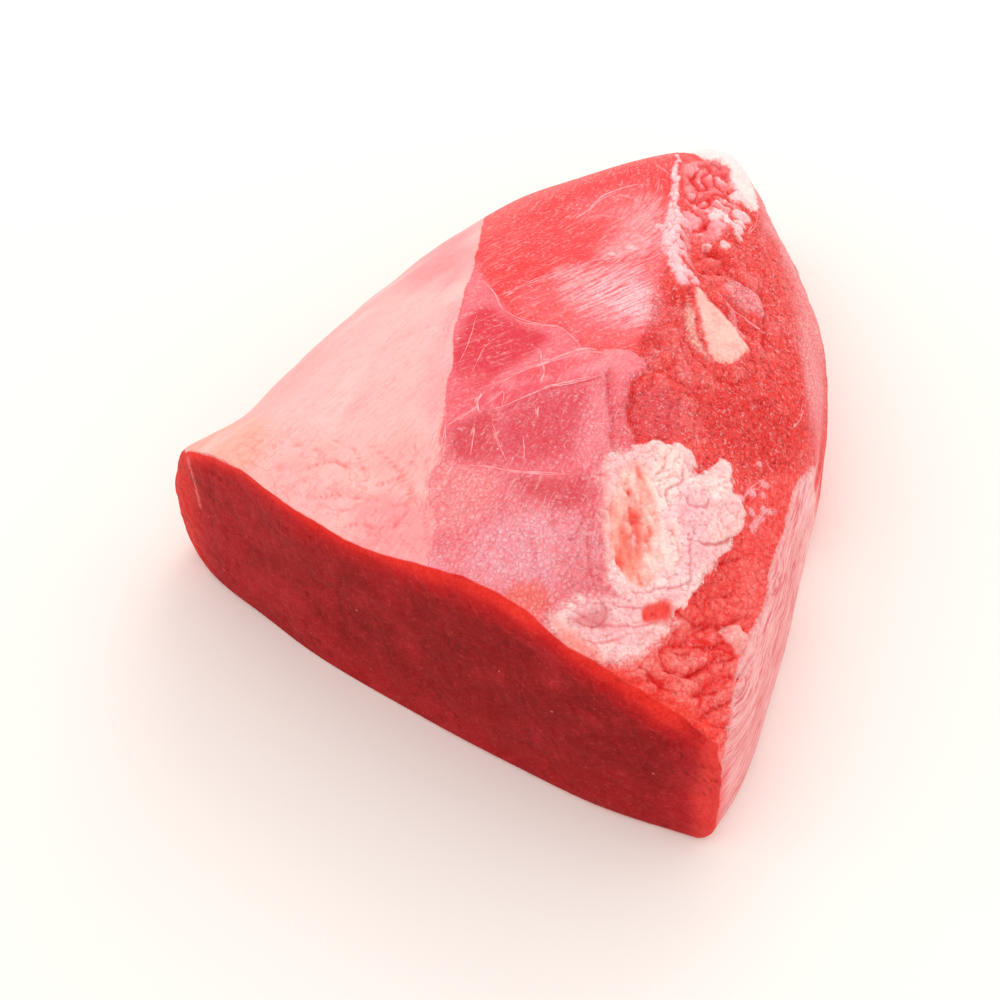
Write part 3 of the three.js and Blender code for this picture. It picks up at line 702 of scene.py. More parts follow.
for line, width in (
    ([(16, 15), (22.5, 5), (29.5, -4.5), (37, -12), (43, -14)], 0.9),
    ([(22, 21), (30, 17.5), (38, 15.5), (46, 12.5), (50, 6)], 1.0),
    ([(11, 5.5), (15, -3), (18.5, -11), (23, -20), (26, -26)], 1.2),
    ([(12, 18), (17, 9), (23, 0), (30, -9), (36, -16), (42, -20)], 1.2),
    ([(29, -27), (28.5, -37), (32, -46.5), (37, -54), (43, -60.5)], 1.3),
    ([(17.5, -38), (22.5, -45), (27, -51), (33, -59), (39, -68)], 0.9),
    ([(20.5, -21), (21.5, -14), (27, -18), (32, -16.5), (34, -24), (31, -31), (33, -39)], 1.1),
    ([(44, -12), (50, -12), (54, -4), (54, 4)], 1.2),
    ([(36, -28), (42, -26), (48, -28), (52, -36)], 1.0),
):
    crease(line, width * 1.2, 1.2, (226, 34, 34), 0.85)
mounds([(20, 4, 5, 1.26), (27, -8, 6, 1.26), (33, -18, 5, 0.98), (24, -12, 4, 0.84), (39, -22, 5, 0.98),
        (45, -18, 5, 0.98), (36, -32, 5, 0.84), (50, -4, 5, 0.84)], (255, 144, 138), 0.6)
wash(patch([(12, 4), (16, 8), (26, -6), (24, -20), (18, -14)], 4), (240, 86, 88), 0.6)

# The fat patch is a spread of cream fat near the right front. Its lobes have scalloped edges,
# and in its left half lies a torn hollow where red flesh and orange fat strands show.
FAT = (255, 228, 223)
FAT_OUTLINE = [(40, -70), (42.5, -67), (45, -62), (47.5, -59.5), (48, -56.5), (50, -55.5), (54, -53),
               (56, -49.5), (59, -51), (61, -55), (63, -56), (64, -52), (64.5, -47), (65, -42.5),
               (66.5, -40), (69.5, -42), (71.5, -45),
               (73.5, -49), (75, -47.5), (78, -49), (80, -53), (81, -59), (81.3, -66), (81.5, -74),
               (81.5, -88), (82, -97), (80.5, -102), (80, -108), (78.5, -115.5), (77, -120.5),
               (73, -125.5), (67.5, -129), (62.5, -131), (57, -130), (53.5, -127), (55, -122),
               (60, -116.5), (65, -111), (68, -107), (63.5, -106), (58, -103), (53.5, -98),
               (49, -91), (46, -85), (42, -79.5)]
LILAC = [(57, -58), (64, -68), (60, -70), (64, -80), (72, -92), (77, -88), (79, -74), (74, -66),
         (70, -58), (66, -58), (62, -62)]
FAT_WASHES = (
    (LILAC, 5, (250, 204, 208), 0.8),
    ([(62, -106), (70, -104), (80, -92), (81, -100), (78, -116), (66, -127), (58, -124)], 5,
     (252, 206, 205), 0.7),
    ([(66, -42), (71, -46), (74, -54), (70, -58), (65, -52)], 4, (255, 236, 230), 0.9),
    ([(74, -50), (79, -52), (80, -62), (75, -64)], 4, (255, 212, 208), 0.9),
    ([(50, -56), (56, -52), (60, -64), (62, -74), (54, -70)], 4, (255, 238, 228), 0.9),
    ([(66, -74), (72, -80), (74, -90), (68, -84)], 4, (255, 232, 222), 0.9),
    ([(57, -128), (52, -126), (64, -136), (74, -132), (70, -126)], 5, (252, 150, 138), 0.9),
    ([(58, -121), (66, -119), (74, -110), (78, -112), (66, -126)], 5, (251, 194, 196), 0.7),
)
HOLLOW = [(45, -74.5), (47, -67), (52, -69), (58, -74.5), (63, -80), (68, -87.5), (71, -94.5),
          (69, -100), (63, -101), (58, -98.5), (54, -94), (49, -87.5), (47, -80.5)]
KNOBS = [(48, -57.5, 1.9, 1.2), (54.5, -52.5, 2.6, 1.4), (52, -57, 2.8, 1.2), (57, -62, 2.4, 1.0),
         (67, -44, 2.6, 1.4), (70, -48.5, 2.8, 1.4), (67, -52, 2.4, 1.1), (77, -52, 2.8, 1.5),
         (78, -58, 2.6, 1.3), (72, -56, 2.4, 1.0), (76, -64, 2.4, 1.0), (70, -70, 2.6, 0.9),
         (60, -52.5, 1.2, 0.8), (66, -76, 2.6, 0.9), (71, -84, 2.6, 0.9)]

gap = inside(FAT_OUTLINE, 9.0)
near_fat = ramp(gap, -6, -3)
curd = cells(3.6, near_fat, 5.0, pushed(1.8, 5.0, 62.0))
gap = gap + 1.0 * ripple(3.4, 66.0) + 0.8 * near_fat * (curd - 0.6)
faded = np.maximum(ramp(spot[:, 0] - 0.5 * (spot[:, 1] + 60), 72, 58) * ramp(spot[:, 1], -52, -66),
                   ramp(spot[:, 1], -98, -108))
lay(gap + 0.4 + 1.2 * faded, FAT, 0.55 - 0.42 * faded, 8.0)
fat = ramp(gap, -1.0 - 3 * faded, 1.5 + 2 * faded)
wash(fat * ramp(spot[:, 0] - 0.5 * (spot[:, 1] + 60), 60, 50), (251, 192, 190), 0.6, "film")
for outline, soft, colour, strength in FAT_WASHES:
    wash(patch(outline, soft), colour, strength, "film")
swell(fat, 0.9)
swell(fat * (curd - 0.6), 0.7)
wash(fat * ramp(curd, 0.5, 0.1), (246, 138, 136), 0.6, "film")
wash(fat * ramp(ripple(7.0, 64.0), 0.1, 0.7), (244, 158, 166), 0.4, "film")
netted = netted * (1 - fat) + 0.2 * fat
glinting = glinting * (1 - fat) + 0.3 * fat
veined = veined * (1 - fat) + 0.8 * fat
streaky = streaky * (1 - fat)
arcing = arcing * (1 - fat)
lumps(KNOBS, (255, 236, 230), 0.9)
hollow = patch(HOLLOW, 4.0)
turned = np.stack((spot[:, 0] * 0.64 + spot[:, 1] * 0.77, spot[:, 1] * 0.64 - spot[:, 0] * 0.77,
                   spot[:, 2]), axis=1)
swell(hollow, -1.3)
torn = ripple(4.4, 71.0, turned * (1.5, 0.5, 1.0)) + 0.6 * ripple(2.2, 73.0, turned * (1.4, 0.5, 1.0))
swell(hollow * torn, 1.1)
wash(hollow, (254, 196, 180), 0.9, "film")
wash(hollow * ramp(torn, 0.05, 0.6), (255, 232, 220), 0.85, "film")
wash(hollow * ramp(torn, -0.05, -0.6), (252, 122, 104), 0.8, "film")
wash(hollow * patch([(50, -76), (56, -78), (62, -88), (64, -96), (58, -98), (51, -88)], 5),
     (252, 122, 100), 0.45, "film")
for x, y, radius in ((55, -83, 4.6), (58, -87, 3.0), (51, -77, 2.6), (60, -99, 2.6)):
    pit = ramp(np.hypot(wander[:, 0] - x, wander[:, 1] - y) + 2.0 * torn, radius, radius * 0.2) * hollow
    swell(pit, -0.6)
    wash(pit, (246, 58, 36), 0.85, "film")
for line, width, colour in (
    ([(47, -68), (50, -74), (53, -79)], 1.6, (255, 216, 206)),
    ([(51.5, -69), (57, -72.5), (62, -77)], 1.8, (255, 234, 220)),
    ([(62, -77), (67, -83), (71, -90)], 2.2, (255, 232, 220)),
    ([(63.5, -83), (66.5, -86)], 2.4, (255, 222, 212)),
    ([(58, -86), (59.5, -90)], 1.6, (255, 210, 206)),
    ([(56, -91), (60, -95), (62, -100)], 1.4, (255, 186, 168)),
    ([(52, -84), (53, -89), (57, -95)], 1.4, (255, 180, 166)),
):
    cord = band(line, width, 1.4)
    swell(cord, 0.9)
    wash(cord, colour, 0.8, "film")
wash(patch([(65, -81), (69, -83), (72, -92), (69, -95), (65.5, -88)], 3), (255, 232, 222), 0.9, "film")
wash(hollow * patch([(54, -90), (60, -92), (66, -99), (62, -103), (56, -98)], 5),
     (252, 136, 118), 0.6, "film")
wash(patch([(41, -76), (49, -90), (58, -104), (52, -106), (44, -92)], 6), (248, 134, 136), 0.8, "film")
small_red = patch([(73.5, -107), (74, -103), (79, -98), (81, -100), (78.5, -105), (76, -108)], 2.0)
swell(small_red, -1.0)
wash(small_red, (246, 72, 58), 0.95, "film")
for line, width, depth, colour in (
    ([(75, -74), (77, -72), (79.5, -65), (81.5, -58)], 1.0, 1.0, (206, 34, 34)),
    ([(64, -63), (67, -66), (70, -62), (69, -56)], 1.0, 0.7, (224, 110, 124)),
    ([(59, -57), (61, -62), (59, -68), (62, -72)], 0.9, 0.7, (226, 116, 126)),
    ([(72, -72), (74, -78), (78, -84), (80, -92)], 0.8, 0.6, (226, 120, 132)),
    ([(52, -58), (54, -63), (54, -68)], 0.9, 0.6, (246, 140, 126)),
    ([(66, -78), (70, -80), (74, -86)], 0.8, 0.5, (250, 150, 140)),
    ([(68, -104), (73, -99), (77, -93), (79, -86)], 0.8, 0.5, (228, 120, 132)),
    ([(62, -114), (69, -110), (75, -104)], 0.8, 0.5, (226, 116, 128)),
    ([(58, -121), (66, -119), (74, -112), (79, -104)], 0.9, 0.5, (232, 118, 124)),
    ([(56, -124), (62, -123), (66, -118), (64, -114), (60, -116)], 0.9, 0.5, (208, 84, 100)),
    ([(62, -128), (68, -124), (72, -118)], 0.8, 0.5, (236, 116, 112)),
    ([(49, -124), (52, -129), (58, -132), (64, -133)], 1.0, 0.6, (226, 84, 72)),
):
    crease(line, width, depth, colour, 0.75)
wash(patch([(36, -134), (38, -126), (42, -122.5), (47.5, -122), (50, -126), (46, -134)], 3),
     (248, 124, 112), 0.8)
wash(patch([(56, -125), (60, -119), (65, -114), (67, -118), (61, -124)], 5),
     (222, 104, 114), 0.7, "film")

# The facet on the right front is bare flesh, squeezed into deep wet folds as thick as fingers.
# A pale scrap of skin sticks to it near the edge of the wall.
FACET = [(82, -52), (76, -38), (79, -22), (84, -15), (93, -40), (100, -66), (103, -83), (106, -96),
         (112, -112), (113, -124), (104, -126), (89, -130), (76, -131), (79, -118), (82, -98),
         (84, -80)]
SCRAP = [(94, -90), (95.5, -86), (98.5, -83.5), (101.5, -84), (102.5, -88), (101.5, -92), (98, -90.5)]
FOLDED = [(80, -98), (84, -95), (91, -90), (98, -78), (103, -84), (108, -96), (114, -114), (112, -126),
          (90, -134), (72, -134), (78, -118)]

facet = patch(FACET, 3.0)
wash(facet, (250, 94, 88))
wash(patch([(84, -68), (88, -72), (90, -82), (86, -92), (83, -84)], 6), (236, 70, 62), 0.6)
wash(patch([(90, -60), (96, -62), (98, -76), (93, -78)], 7), (252, 122, 116), 0.7)
# Painted shade and highlight: the crinkle seams are painted dark red and the cell tops paler.
wash(facet * ramp(crinkle, 0.4, 0.05), (220, 34, 32), 0.5)
wash(facet * ramp(crinkle, 0.6, 1.0), (255, 136, 126), 0.35)
folded = patch(FOLDED, 5.0)
folds = ridges(8.5, 91.0, (turned + 0.5 * (pushed(3.0, 7.0, 93.0) - spot)) * (0.42, 1.25, 1.0))
small_folds = ridges(4.2, 94.0, (turned + 0.4 * (pushed(3.0, 7.0, 99.0) - spot)) * (0.5, 1.2, 1.0))
swell(folded * (folds - 0.5), 1.9)
swell(folded * (small_folds - 0.5), 0.9)
# Painted highlight on the fold crests and painted shade in the dips between them.
wash(folded * ramp(folds + 0.5 * small_folds, 0.3, 1.4), (254, 142, 132), 0.85)
wash(folded * ramp(folds, 0.2, 0.0), (236, 26, 18), 0.75)
wash(folded * ramp(small_folds, 0.18, 0.0), (238, 34, 26), 0.55)
wash(patch([(60, -140), (62, -131), (72, -129), (84, -124), (96, -118), (110, -116), (114, -140)], 7),
     (252, 76, 60), 0.8)
for line, width, depth in (
    ([(82.5, -74), (83.5, -66.5), (86, -61)], 1.4, 0.9),
    ([(82, -97.5), (85.5, -95), (87.5, -94), (91, -89.5), (93.5, -89), (96, -84), (98, -77)], 1.9, 1.6),
    ([(90.5, -101.5), (94.5, -97.5), (97, -91)], 1.6, 1.3),
    ([(85.5, -107), (88.5, -105), (91, -103)], 1.6, 1.2),
    ([(85.5, -114), (87.5, -113.5), (93.5, -110.5), (94.5, -107.5), (96.5, -103)], 1.6, 1.2),
    ([(97.5, -100.5), (99.5, -98), (101.5, -93)], 1.4, 1.1),
    ([(98, -116), (99, -111), (103.5, -105.5)], 1.6, 1.2),
    ([(81.5, -120.5), (85.5, -119.5), (90, -120), (94, -118)], 1.6, 1.2),
    ([(104, -117.5), (104.5, -112), (107.5, -107.5)], 1.4, 1.1),
    ([(86, -84), (89, -80), (90, -74)], 1.1, 0.7),
):
    crease(line, width * 0.8, depth * 0.8, (218, 20, 14), 0.9)
lay(inside(SCRAP), (255, 186, 178), 0.7)
swell(patch(SCRAP, 2.5), 0.9)
lay(np.clip(0.9 + 0.5 * ripple(3.0, 95.0) - gap_to([(83, -50), (83, -40), (85, -37)], False, wander)[0],
            -4, 4), (250, 172, 176), 0.5)
lumps([(73.5, -29, 1.5, 0.5), (77.5, -33, 1.8, 0.6), (76.5, -40.5, 2.0, 0.6), (82.5, -40, 1.8, 0.6),
       (79, -37, 1.5, 0.5), (80, -46, 1.6, 0.5), (76, -46, 1.3, 0.4)], (250, 184, 188), 0.7, 0.5)
netted = np.maximum(netted, 0.9 * facet)
glinting = glinting * (1 - 0.5 * facet)

# The right wall is silver skin, drawn in white, mauve and rust lines along its length. The
# left side and the back wear the same skin, thinner, with the red flesh showing through.
WALL = (240, 172, 170)
WALL_EDGE_Y = (-140, -118, -106, -95, -87.5, -81.5, -76.5, -68, -55, -37.5, -22, -3.5, 20, 45, 70, 100)
WALL_EDGE_X = (114, 113, 108, 103.5, 101.5, 101, 100, 98.5, 93.5, 89, 84, 82, 88, 90, 82, 64)

gap = spot[:, 0] + 0.6 * ripple(5.0, 97.0) - np.interp(spot[:, 1], WALL_EDGE_Y, WALL_EDGE_X)
facing_right = ramp(normal[:, 0], 0.0, 0.2)
gap = np.where(spot[:, 1] < 100, gap, -4.0) * facing_right - 4 * (1 - facing_right)
lay(np.clip(gap, -4, 4), WALL)
wall = ramp(gap, 0.0, 2.0)
side = np.maximum(wall, 1 - upward)
wash((1 - upward) * (1 - left_side), (238, 140, 136))
wash((1 - upward) * ramp(normal[:, 0], 0.3, 0.6) * ramp(spot[:, 1], 22, 0), (244, 186, 183))
under = ramp(normal[:, 2], -0.3, -0.6)
wash(under, (240, 160, 154))
wash(under, (240, 160, 154), 1.0, "film")
wash(wall * ramp(gap, 2.5, 0.5), (255, 206, 200), 0.7, "film")
wash(wall * ramp(spot[:, 1], 4, 26), (246, 104, 96), 0.9, "film")
wash(wall * ramp(spot[:, 1], -34, -14) * ramp(spot[:, 1], 12, 2), (252, 212, 208), 0.6, "film")
seamy = spot * (0.06, 0.06, 1.0) + (0, 0, 1) * (spot[:, 1:2] * 0.12)
stripe = ripple(2.4, 98.0, seamy) + 0.7 * ripple(1.2, 99.0, seamy)
for layer in ("flesh", "film"):
    wash(side * ramp(stripe, 0.05, 0.5), (250, 208, 206), 0.35, layer)
    wash(side * ramp(stripe, -0.05, -0.5), (222, 126, 130), 0.4, layer)
swell(side * stripe, 0.3)
red_side = (1 - upward) * ramp(normal[:, 0], 0.3, 0.6) * ramp(spot[:, 1], 2, 20)
for layer in ("flesh", "film"):
    wash(red_side, (232, 50, 44), 0.9, layer)
corner = side * ramp(spot[:, 1], -112, -124) * ramp(spot[:, 0], 60, 90)
for layer in ("flesh", "film"):
    wash(corner, (234, 72, 68), 0.9, layer)
    wash(corner * ramp(stripe, 0.0, 0.5), (250, 138, 132), 0.6, layer)
streaky = np.maximum(streaky * (1 - side), side * (1 - 0.7 * red_side))
arcing = arcing * (1 - side)
netted = netted * (1 - side) + 0.15 * side
glinting = glinting * (1 - side) + 0.1 * side
wet = wet * (1 - side) + 0.15 * side
wet = wet * ramp(normal[:, 0], 0.85, 0.4)

# The cut end is one clean slice across the grain, dark red flesh in fine bundles with short
# cracks between them, painted darker as shade. A bright red band painted along its top stands for light
# glowing through the thin edge.
CUT = (142, 12, 17)
RIM = ((-101, -122.5, 63), (-98, -123.6, 66.5), (-83, -127.2, 75.6), (-70.7, -128.8, 79),
       (-60.6, -130.1, 79), (-50.8, -131.5, 77.6), (-43.5, -131.5, 77.2), (-36, -132.3, 77.3),
       (-24.5, -133.3, 77.6), (-10.5, -133, 79.3), (5, -132, 83), (20, -131, 86.6), (34.5, -130, 87.4),
       (45, -130, 86), (52.8, -131.7, 84.6), (61.1, -132.9, 81.5), (71, -131, 78.5), (79.1, -128.6, 73.6),
       (88.5, -125.2, 66.8), (98.2, -122.3, 60.9), (105, -120.7, 55.9), (110.3, -120.7, 53.3),
       (112, -119.5, 51.1))
rim_x, rim_y, rim_z = np.array(RIM, float).T
past = ((np.interp(spot[:, 0], rim_x, rim_z) - spot[:, 2])
        + (np.interp(spot[:, 0], rim_x, rim_y) - spot[:, 1])) * 0.707
past = past + 0.4 * ripple(7.0, 101.0)
past = np.minimum(past, np.where(spot[:, 0] < -99, -111 - spot[:, 1], 40))
past = np.minimum(past, np.where(spot[:, 0] > 112, -121.5 - spot[:, 1], 40))
past = np.minimum(past, np.interp(spot[:, 0], rim_x, rim_y) + 8 - spot[:, 1])
past = np.minimum(past, (normal[:, 2] + 0.75) * 20)
cut = ramp(past, -0.5, 1.0)
down = np.interp(spot[:, 0], rim_x, rim_z) - spot[:, 2]
paint["slice"][:] = shade(*CUT)
blotch = ripple(16.0, 103.0) + 0.5 * ripple(7.0, 104.0)
wash(ramp(spot[:, 0], -10, -80), (176, 30, 34), 0.8, "slice")
wash(ramp(spot[:, 2], 34, 4), (172, 30, 33), 0.7, "slice")
wash(ramp(blotch, 0.0, 0.8), (186, 38, 44), 0.5, "slice")
wash(ramp(blotch, 0.0, -0.8), (134, 10, 18), 0.4, "slice")
# Painted glow: a brighter red band under the rim and orange-red at its very edge, for light shining
# through the thin edge.
wash(ramp(down + 3 * blotch, 16, 2), (198, 24, 28), 0.85, "slice")
wash(ramp(down + 1.5 * blotch, 5.0, 0.0), (242, 58, 46), 0.85, "slice")
wash(ramp(spot[:, 0], -88, -108), (234, 52, 42), 0.85, "slice")
wash(ramp(spot[:, 0], 94, 108), (178, 28, 34), 0.8, "slice")
wash(ramp(spot[:, 0] + 2 * blotch, 105, 113), (238, 72, 64), 0.85, "slice")
pale_seam = gap_to([(-99, 62), (-97.5, 56), (-96, 48), (-95, 42)], False, spot[:, ::2])[0]
wash(ramp(pale_seam, 1.3, 0.4), (240, 126, 114), 0.8, "slice")
bundles = cells(9.0, cut, 7.0, pushed(3.0, 9.0, 105.0) * (1.0, 0.3, 1.0))
small = cells(4.0, cut, 17.0, pushed(1.5, 5.0, 107.0) * (1.0, 0.3, 1.0))
crackle = ramp(ripple(22.0, 109.0), -0.25, 0.35) * ramp(down, 4, 9)
# Painted shade and highlight: the low cracks between bundles are painted near black-red, and the middles
# of the small bundles a touch lighter.
wash(ramp(bundles, 0.38, 0.1) * (0.2 * ramp(down, 4, 9) + 0.8 * crackle), (110, 8, 14), 0.6, "slice")
wash(ramp(small, 0.35, 0.1) * crackle, (120, 12, 18), 0.35, "slice")
wash(ramp(small, 0.6, 1.0) * ramp(down, 2, 9), (190, 40, 44), 0.2, "slice")
veined = veined * (1 - cut) + cut * ramp(down, 3, 8) * (0.3 + 0.7 * ramp(spot[:, 0], 40, -40))
swell(cut * (bundles - 0.7), 0.55)
swell(cut * (small - 0.7) * crackle, 0.25)
swell(cut * ripple(18.0, 110.0), 0.9)
for mask in (streaky, arcing, netted, glinting, wet):
    mask *= 1 - cut

# The paint, the relief and the finish are put on the mesh. A material of thin wet skin takes
# the top and sides, and one of dull lean flesh takes the cut.
relief = relief * ramp(spot[:, 2], 1.0, 8.0)
low, high = spot.min(0), spot.max(0)
placed = np.clip(spot + normal * relief[:, None], low, high)
meat.data.vertices.foreach_set("co", (placed / MILLIMETRES).astype(np.float32).ravel())
meat.data.update()


def store(name, values, kind="FLOAT"):
    """Keeps numbers on the meat's vertices, where its material can read them."""
    made = meat.data.attributes.new(name, kind, "POINT")
    field = {"FLOAT": "value", "FLOAT_VECTOR": "vector", "FLOAT_COLOR": "color"}[kind]
    made.data.foreach_set(field, np.asarray(values, np.float32).ravel())


for layer, colours in paint.items():
    store(layer, np.hstack((np.clip(colours, 0, 1), np.ones((len(colours), 1)))), "FLOAT_COLOR")
for name, values in (("cover", cover), ("past", np.clip(past, -4, 4)), ("streaky", streaky),
                     ("arcing", arcing), ("netted", netted), ("veined", veined), ("sheen", sheen),
                     ("glinting", glinting), ("wet", wet), ("side", side)):
    store(name, values)
from_arc = spot[:, :2] - ARC_CENTRE
from_point = spot[:, :2] - (-10.0, 118.0)
store("arc", np.stack((np.arctan2(from_arc[:, 1], from_arc[:, 0]) * 120,
                       np.hypot(*from_arc.T), spot[:, 2] * 0.3), axis=1), "FLOAT_VECTOR")
store("fan", np.stack((np.hypot(*from_point.T), np.arctan2(*from_point.T) * 160,
                       spot[:, 2] * 0.3), axis=1), "FLOAT_VECTOR")
store("wrap", np.stack((spot[:, 1], spot[:, 2], spot[:, 0] * 0.3), axis=1), "FLOAT_VECTOR")


def shader_group(name, inputs, outputs):
    """An empty node group with named sockets, and its input and output nodes."""
    made = bpy.data.node_groups.new(name, "ShaderNodeTree")
    for label in inputs:
        kind = "NodeSocketVector" if label in ("Place", "Grain") else "NodeSocketFloat"
        made.interface.new_socket(label, in_out="INPUT", socket_type=kind)
    for label in outputs:
        made.interface.new_socket(label, in_out="OUTPUT", socket_type="NodeSocketFloat")
    return made, made.nodes.new("NodeGroupInput").outputs, made.nodes.new("NodeGroupOutput").inputs


def sums(tree, operation, *values):
    """One step of arithmetic between values or sockets."""
    return node(tree, "ShaderNodeMath", dict(enumerate(values)), operation=operation).outputs[0]


def rise(tree, value, low, high, top=1.0):
    """0 below low and top above high, smooth between."""
    return node(tree, "ShaderNodeMapRange", {"Value": value, "From Min": low, "From Max": high,
                                             "To Min": 0.0, "To Max": top},
                interpolation_type="SMOOTHSTEP").outputs["Result"]


def blend(tree, factor, first, second):
    """A mix of two colours, each a socket or a colour in screen values."""
    made = node(tree, "ShaderNodeMix", {"Factor": factor}, data_type="RGBA")
    for name, value in (("A", first), ("B", second)):
        if isinstance(value, tuple):
            made.inputs[name].default_value = (*shade(*value), 1)
        else:
            tree.links.new(value, made.inputs[name])
    return made.outputs["Result"]


def tinted(tree, factor, first, colour):
    """A colour deepened towards its product with another, as thickly as factor says."""
    made = node(tree, "ShaderNodeMix", {"Factor": factor}, data_type="RGBA", blend_type="MULTIPLY")
    tree.links.new(first, made.inputs["A"])
    made.inputs["B"].default_value = (*colour, 1)
    return made.outputs["Result"]


def sized_to(tree, place, size):
    """Places measured in units of size."""
    return node(tree, "ShaderNodeVectorMath", {0: place, "Scale": sums(tree, "DIVIDE", 1.0, size)},
                operation="SCALE").outputs[0]


def drifted(tree, place, scale, reach):
    """Places pushed about by soft noise, by up to reach millimetres."""
    drift = node(tree, "ShaderNodeTexNoise", {"Vector": place, "Scale": scale, "Detail": 2.0})
    push = node(tree, "ShaderNodeVectorMath", {0: drift.outputs["Color"], 1: (reach, reach, reach)},
                operation="MULTIPLY").outputs[0]
    return node(tree, "ShaderNodeVectorMath", {0: push, 1: place}, operation="ADD").outputs[0]


fibres, given, put = shader_group("fibres", ("Grain", "Length", "Width"), ("Streak",))
parts = node(fibres, "ShaderNodeSeparateXYZ", {0: given["Grain"]}).outputs
stretched = node(fibres, "ShaderNodeCombineXYZ", {
    0: sums(fibres, "DIVIDE", parts[0], given["Length"]),
    1: sums(fibres, "DIVIDE", parts[1], given["Width"]), 2: parts[2]}).outputs[0]
strand = node(fibres, "ShaderNodeTexNoise", {"Vector": stretched, "Scale": 1.0, "Detail": 2.0,
                                             "Roughness": 0.6})
fibres.links.new(strand.outputs["Fac"], put["Streak"])

creasing, given, put = shader_group("hair_creases", ("Place", "Size", "Line"), ("Mask", "Height"))
sized = sized_to(creasing, drifted(creasing, given["Place"], 0.22, 5.0), given["Size"])
net = node(creasing, "ShaderNodeTexVoronoi", {"Vector": sized, "Scale": 1.0},
           feature="DISTANCE_TO_EDGE").outputs["Distance"]
gone = node(creasing, "ShaderNodeTexNoise", {"Vector": given["Place"], "Scale": 0.13}).outputs["Fac"]
line = sums(creasing, "SUBTRACT", 1.0, rise(creasing, net, 0.0, given["Line"]))
creasing.links.new(sums(creasing, "MULTIPLY", line, rise(creasing, gone, 0.38, 0.58)), put["Mask"])
creasing.links.new(rise(creasing, net, 0.0, 0.25), put["Height"])

veining, given, put = shader_group("wandering_veins", ("Place", "Size", "Line"), ("Mask",))
lines = []
for shift in (0.0, 61.0):
    moved = node(veining, "ShaderNodeVectorMath", {0: given["Place"], 1: (shift, shift, shift)},
                 operation="ADD").outputs[0]
    sized = sized_to(veining, moved, given["Size"])
    wave = node(veining, "ShaderNodeTexNoise", {"Vector": sized, "Scale": 1.0, "Detail": 3.0,
                                                "Roughness": 0.6}).outputs["Fac"]
    far = sums(veining, "ABSOLUTE", sums(veining, "SUBTRACT", wave, 0.5))
    gone = node(veining, "ShaderNodeTexNoise", {"Vector": moved, "Scale": 0.11}).outputs["Fac"]
    line = sums(veining, "SUBTRACT", 1.0, rise(veining, far, 0.0, given["Line"]))
    lines.append(sums(veining, "MULTIPLY", line, rise(veining, gone, 0.36, 0.56)))
veining.links.new(sums(veining, "MAXIMUM", *lines), put["Mask"])

pebbled, given, put = shader_group("pebbled_skin", ("Place", "Size"), ("Crest",))
sized = sized_to(pebbled, drifted(pebbled, given["Place"], 0.45, 2.6), given["Size"])
net = node(pebbled, "ShaderNodeTexVoronoi", {"Vector": sized, "Scale": 1.0},
           feature="DISTANCE_TO_EDGE").outputs["Distance"]
pebbled.links.new(rise(pebbled, net, 0.0, 0.24), put["Crest"])

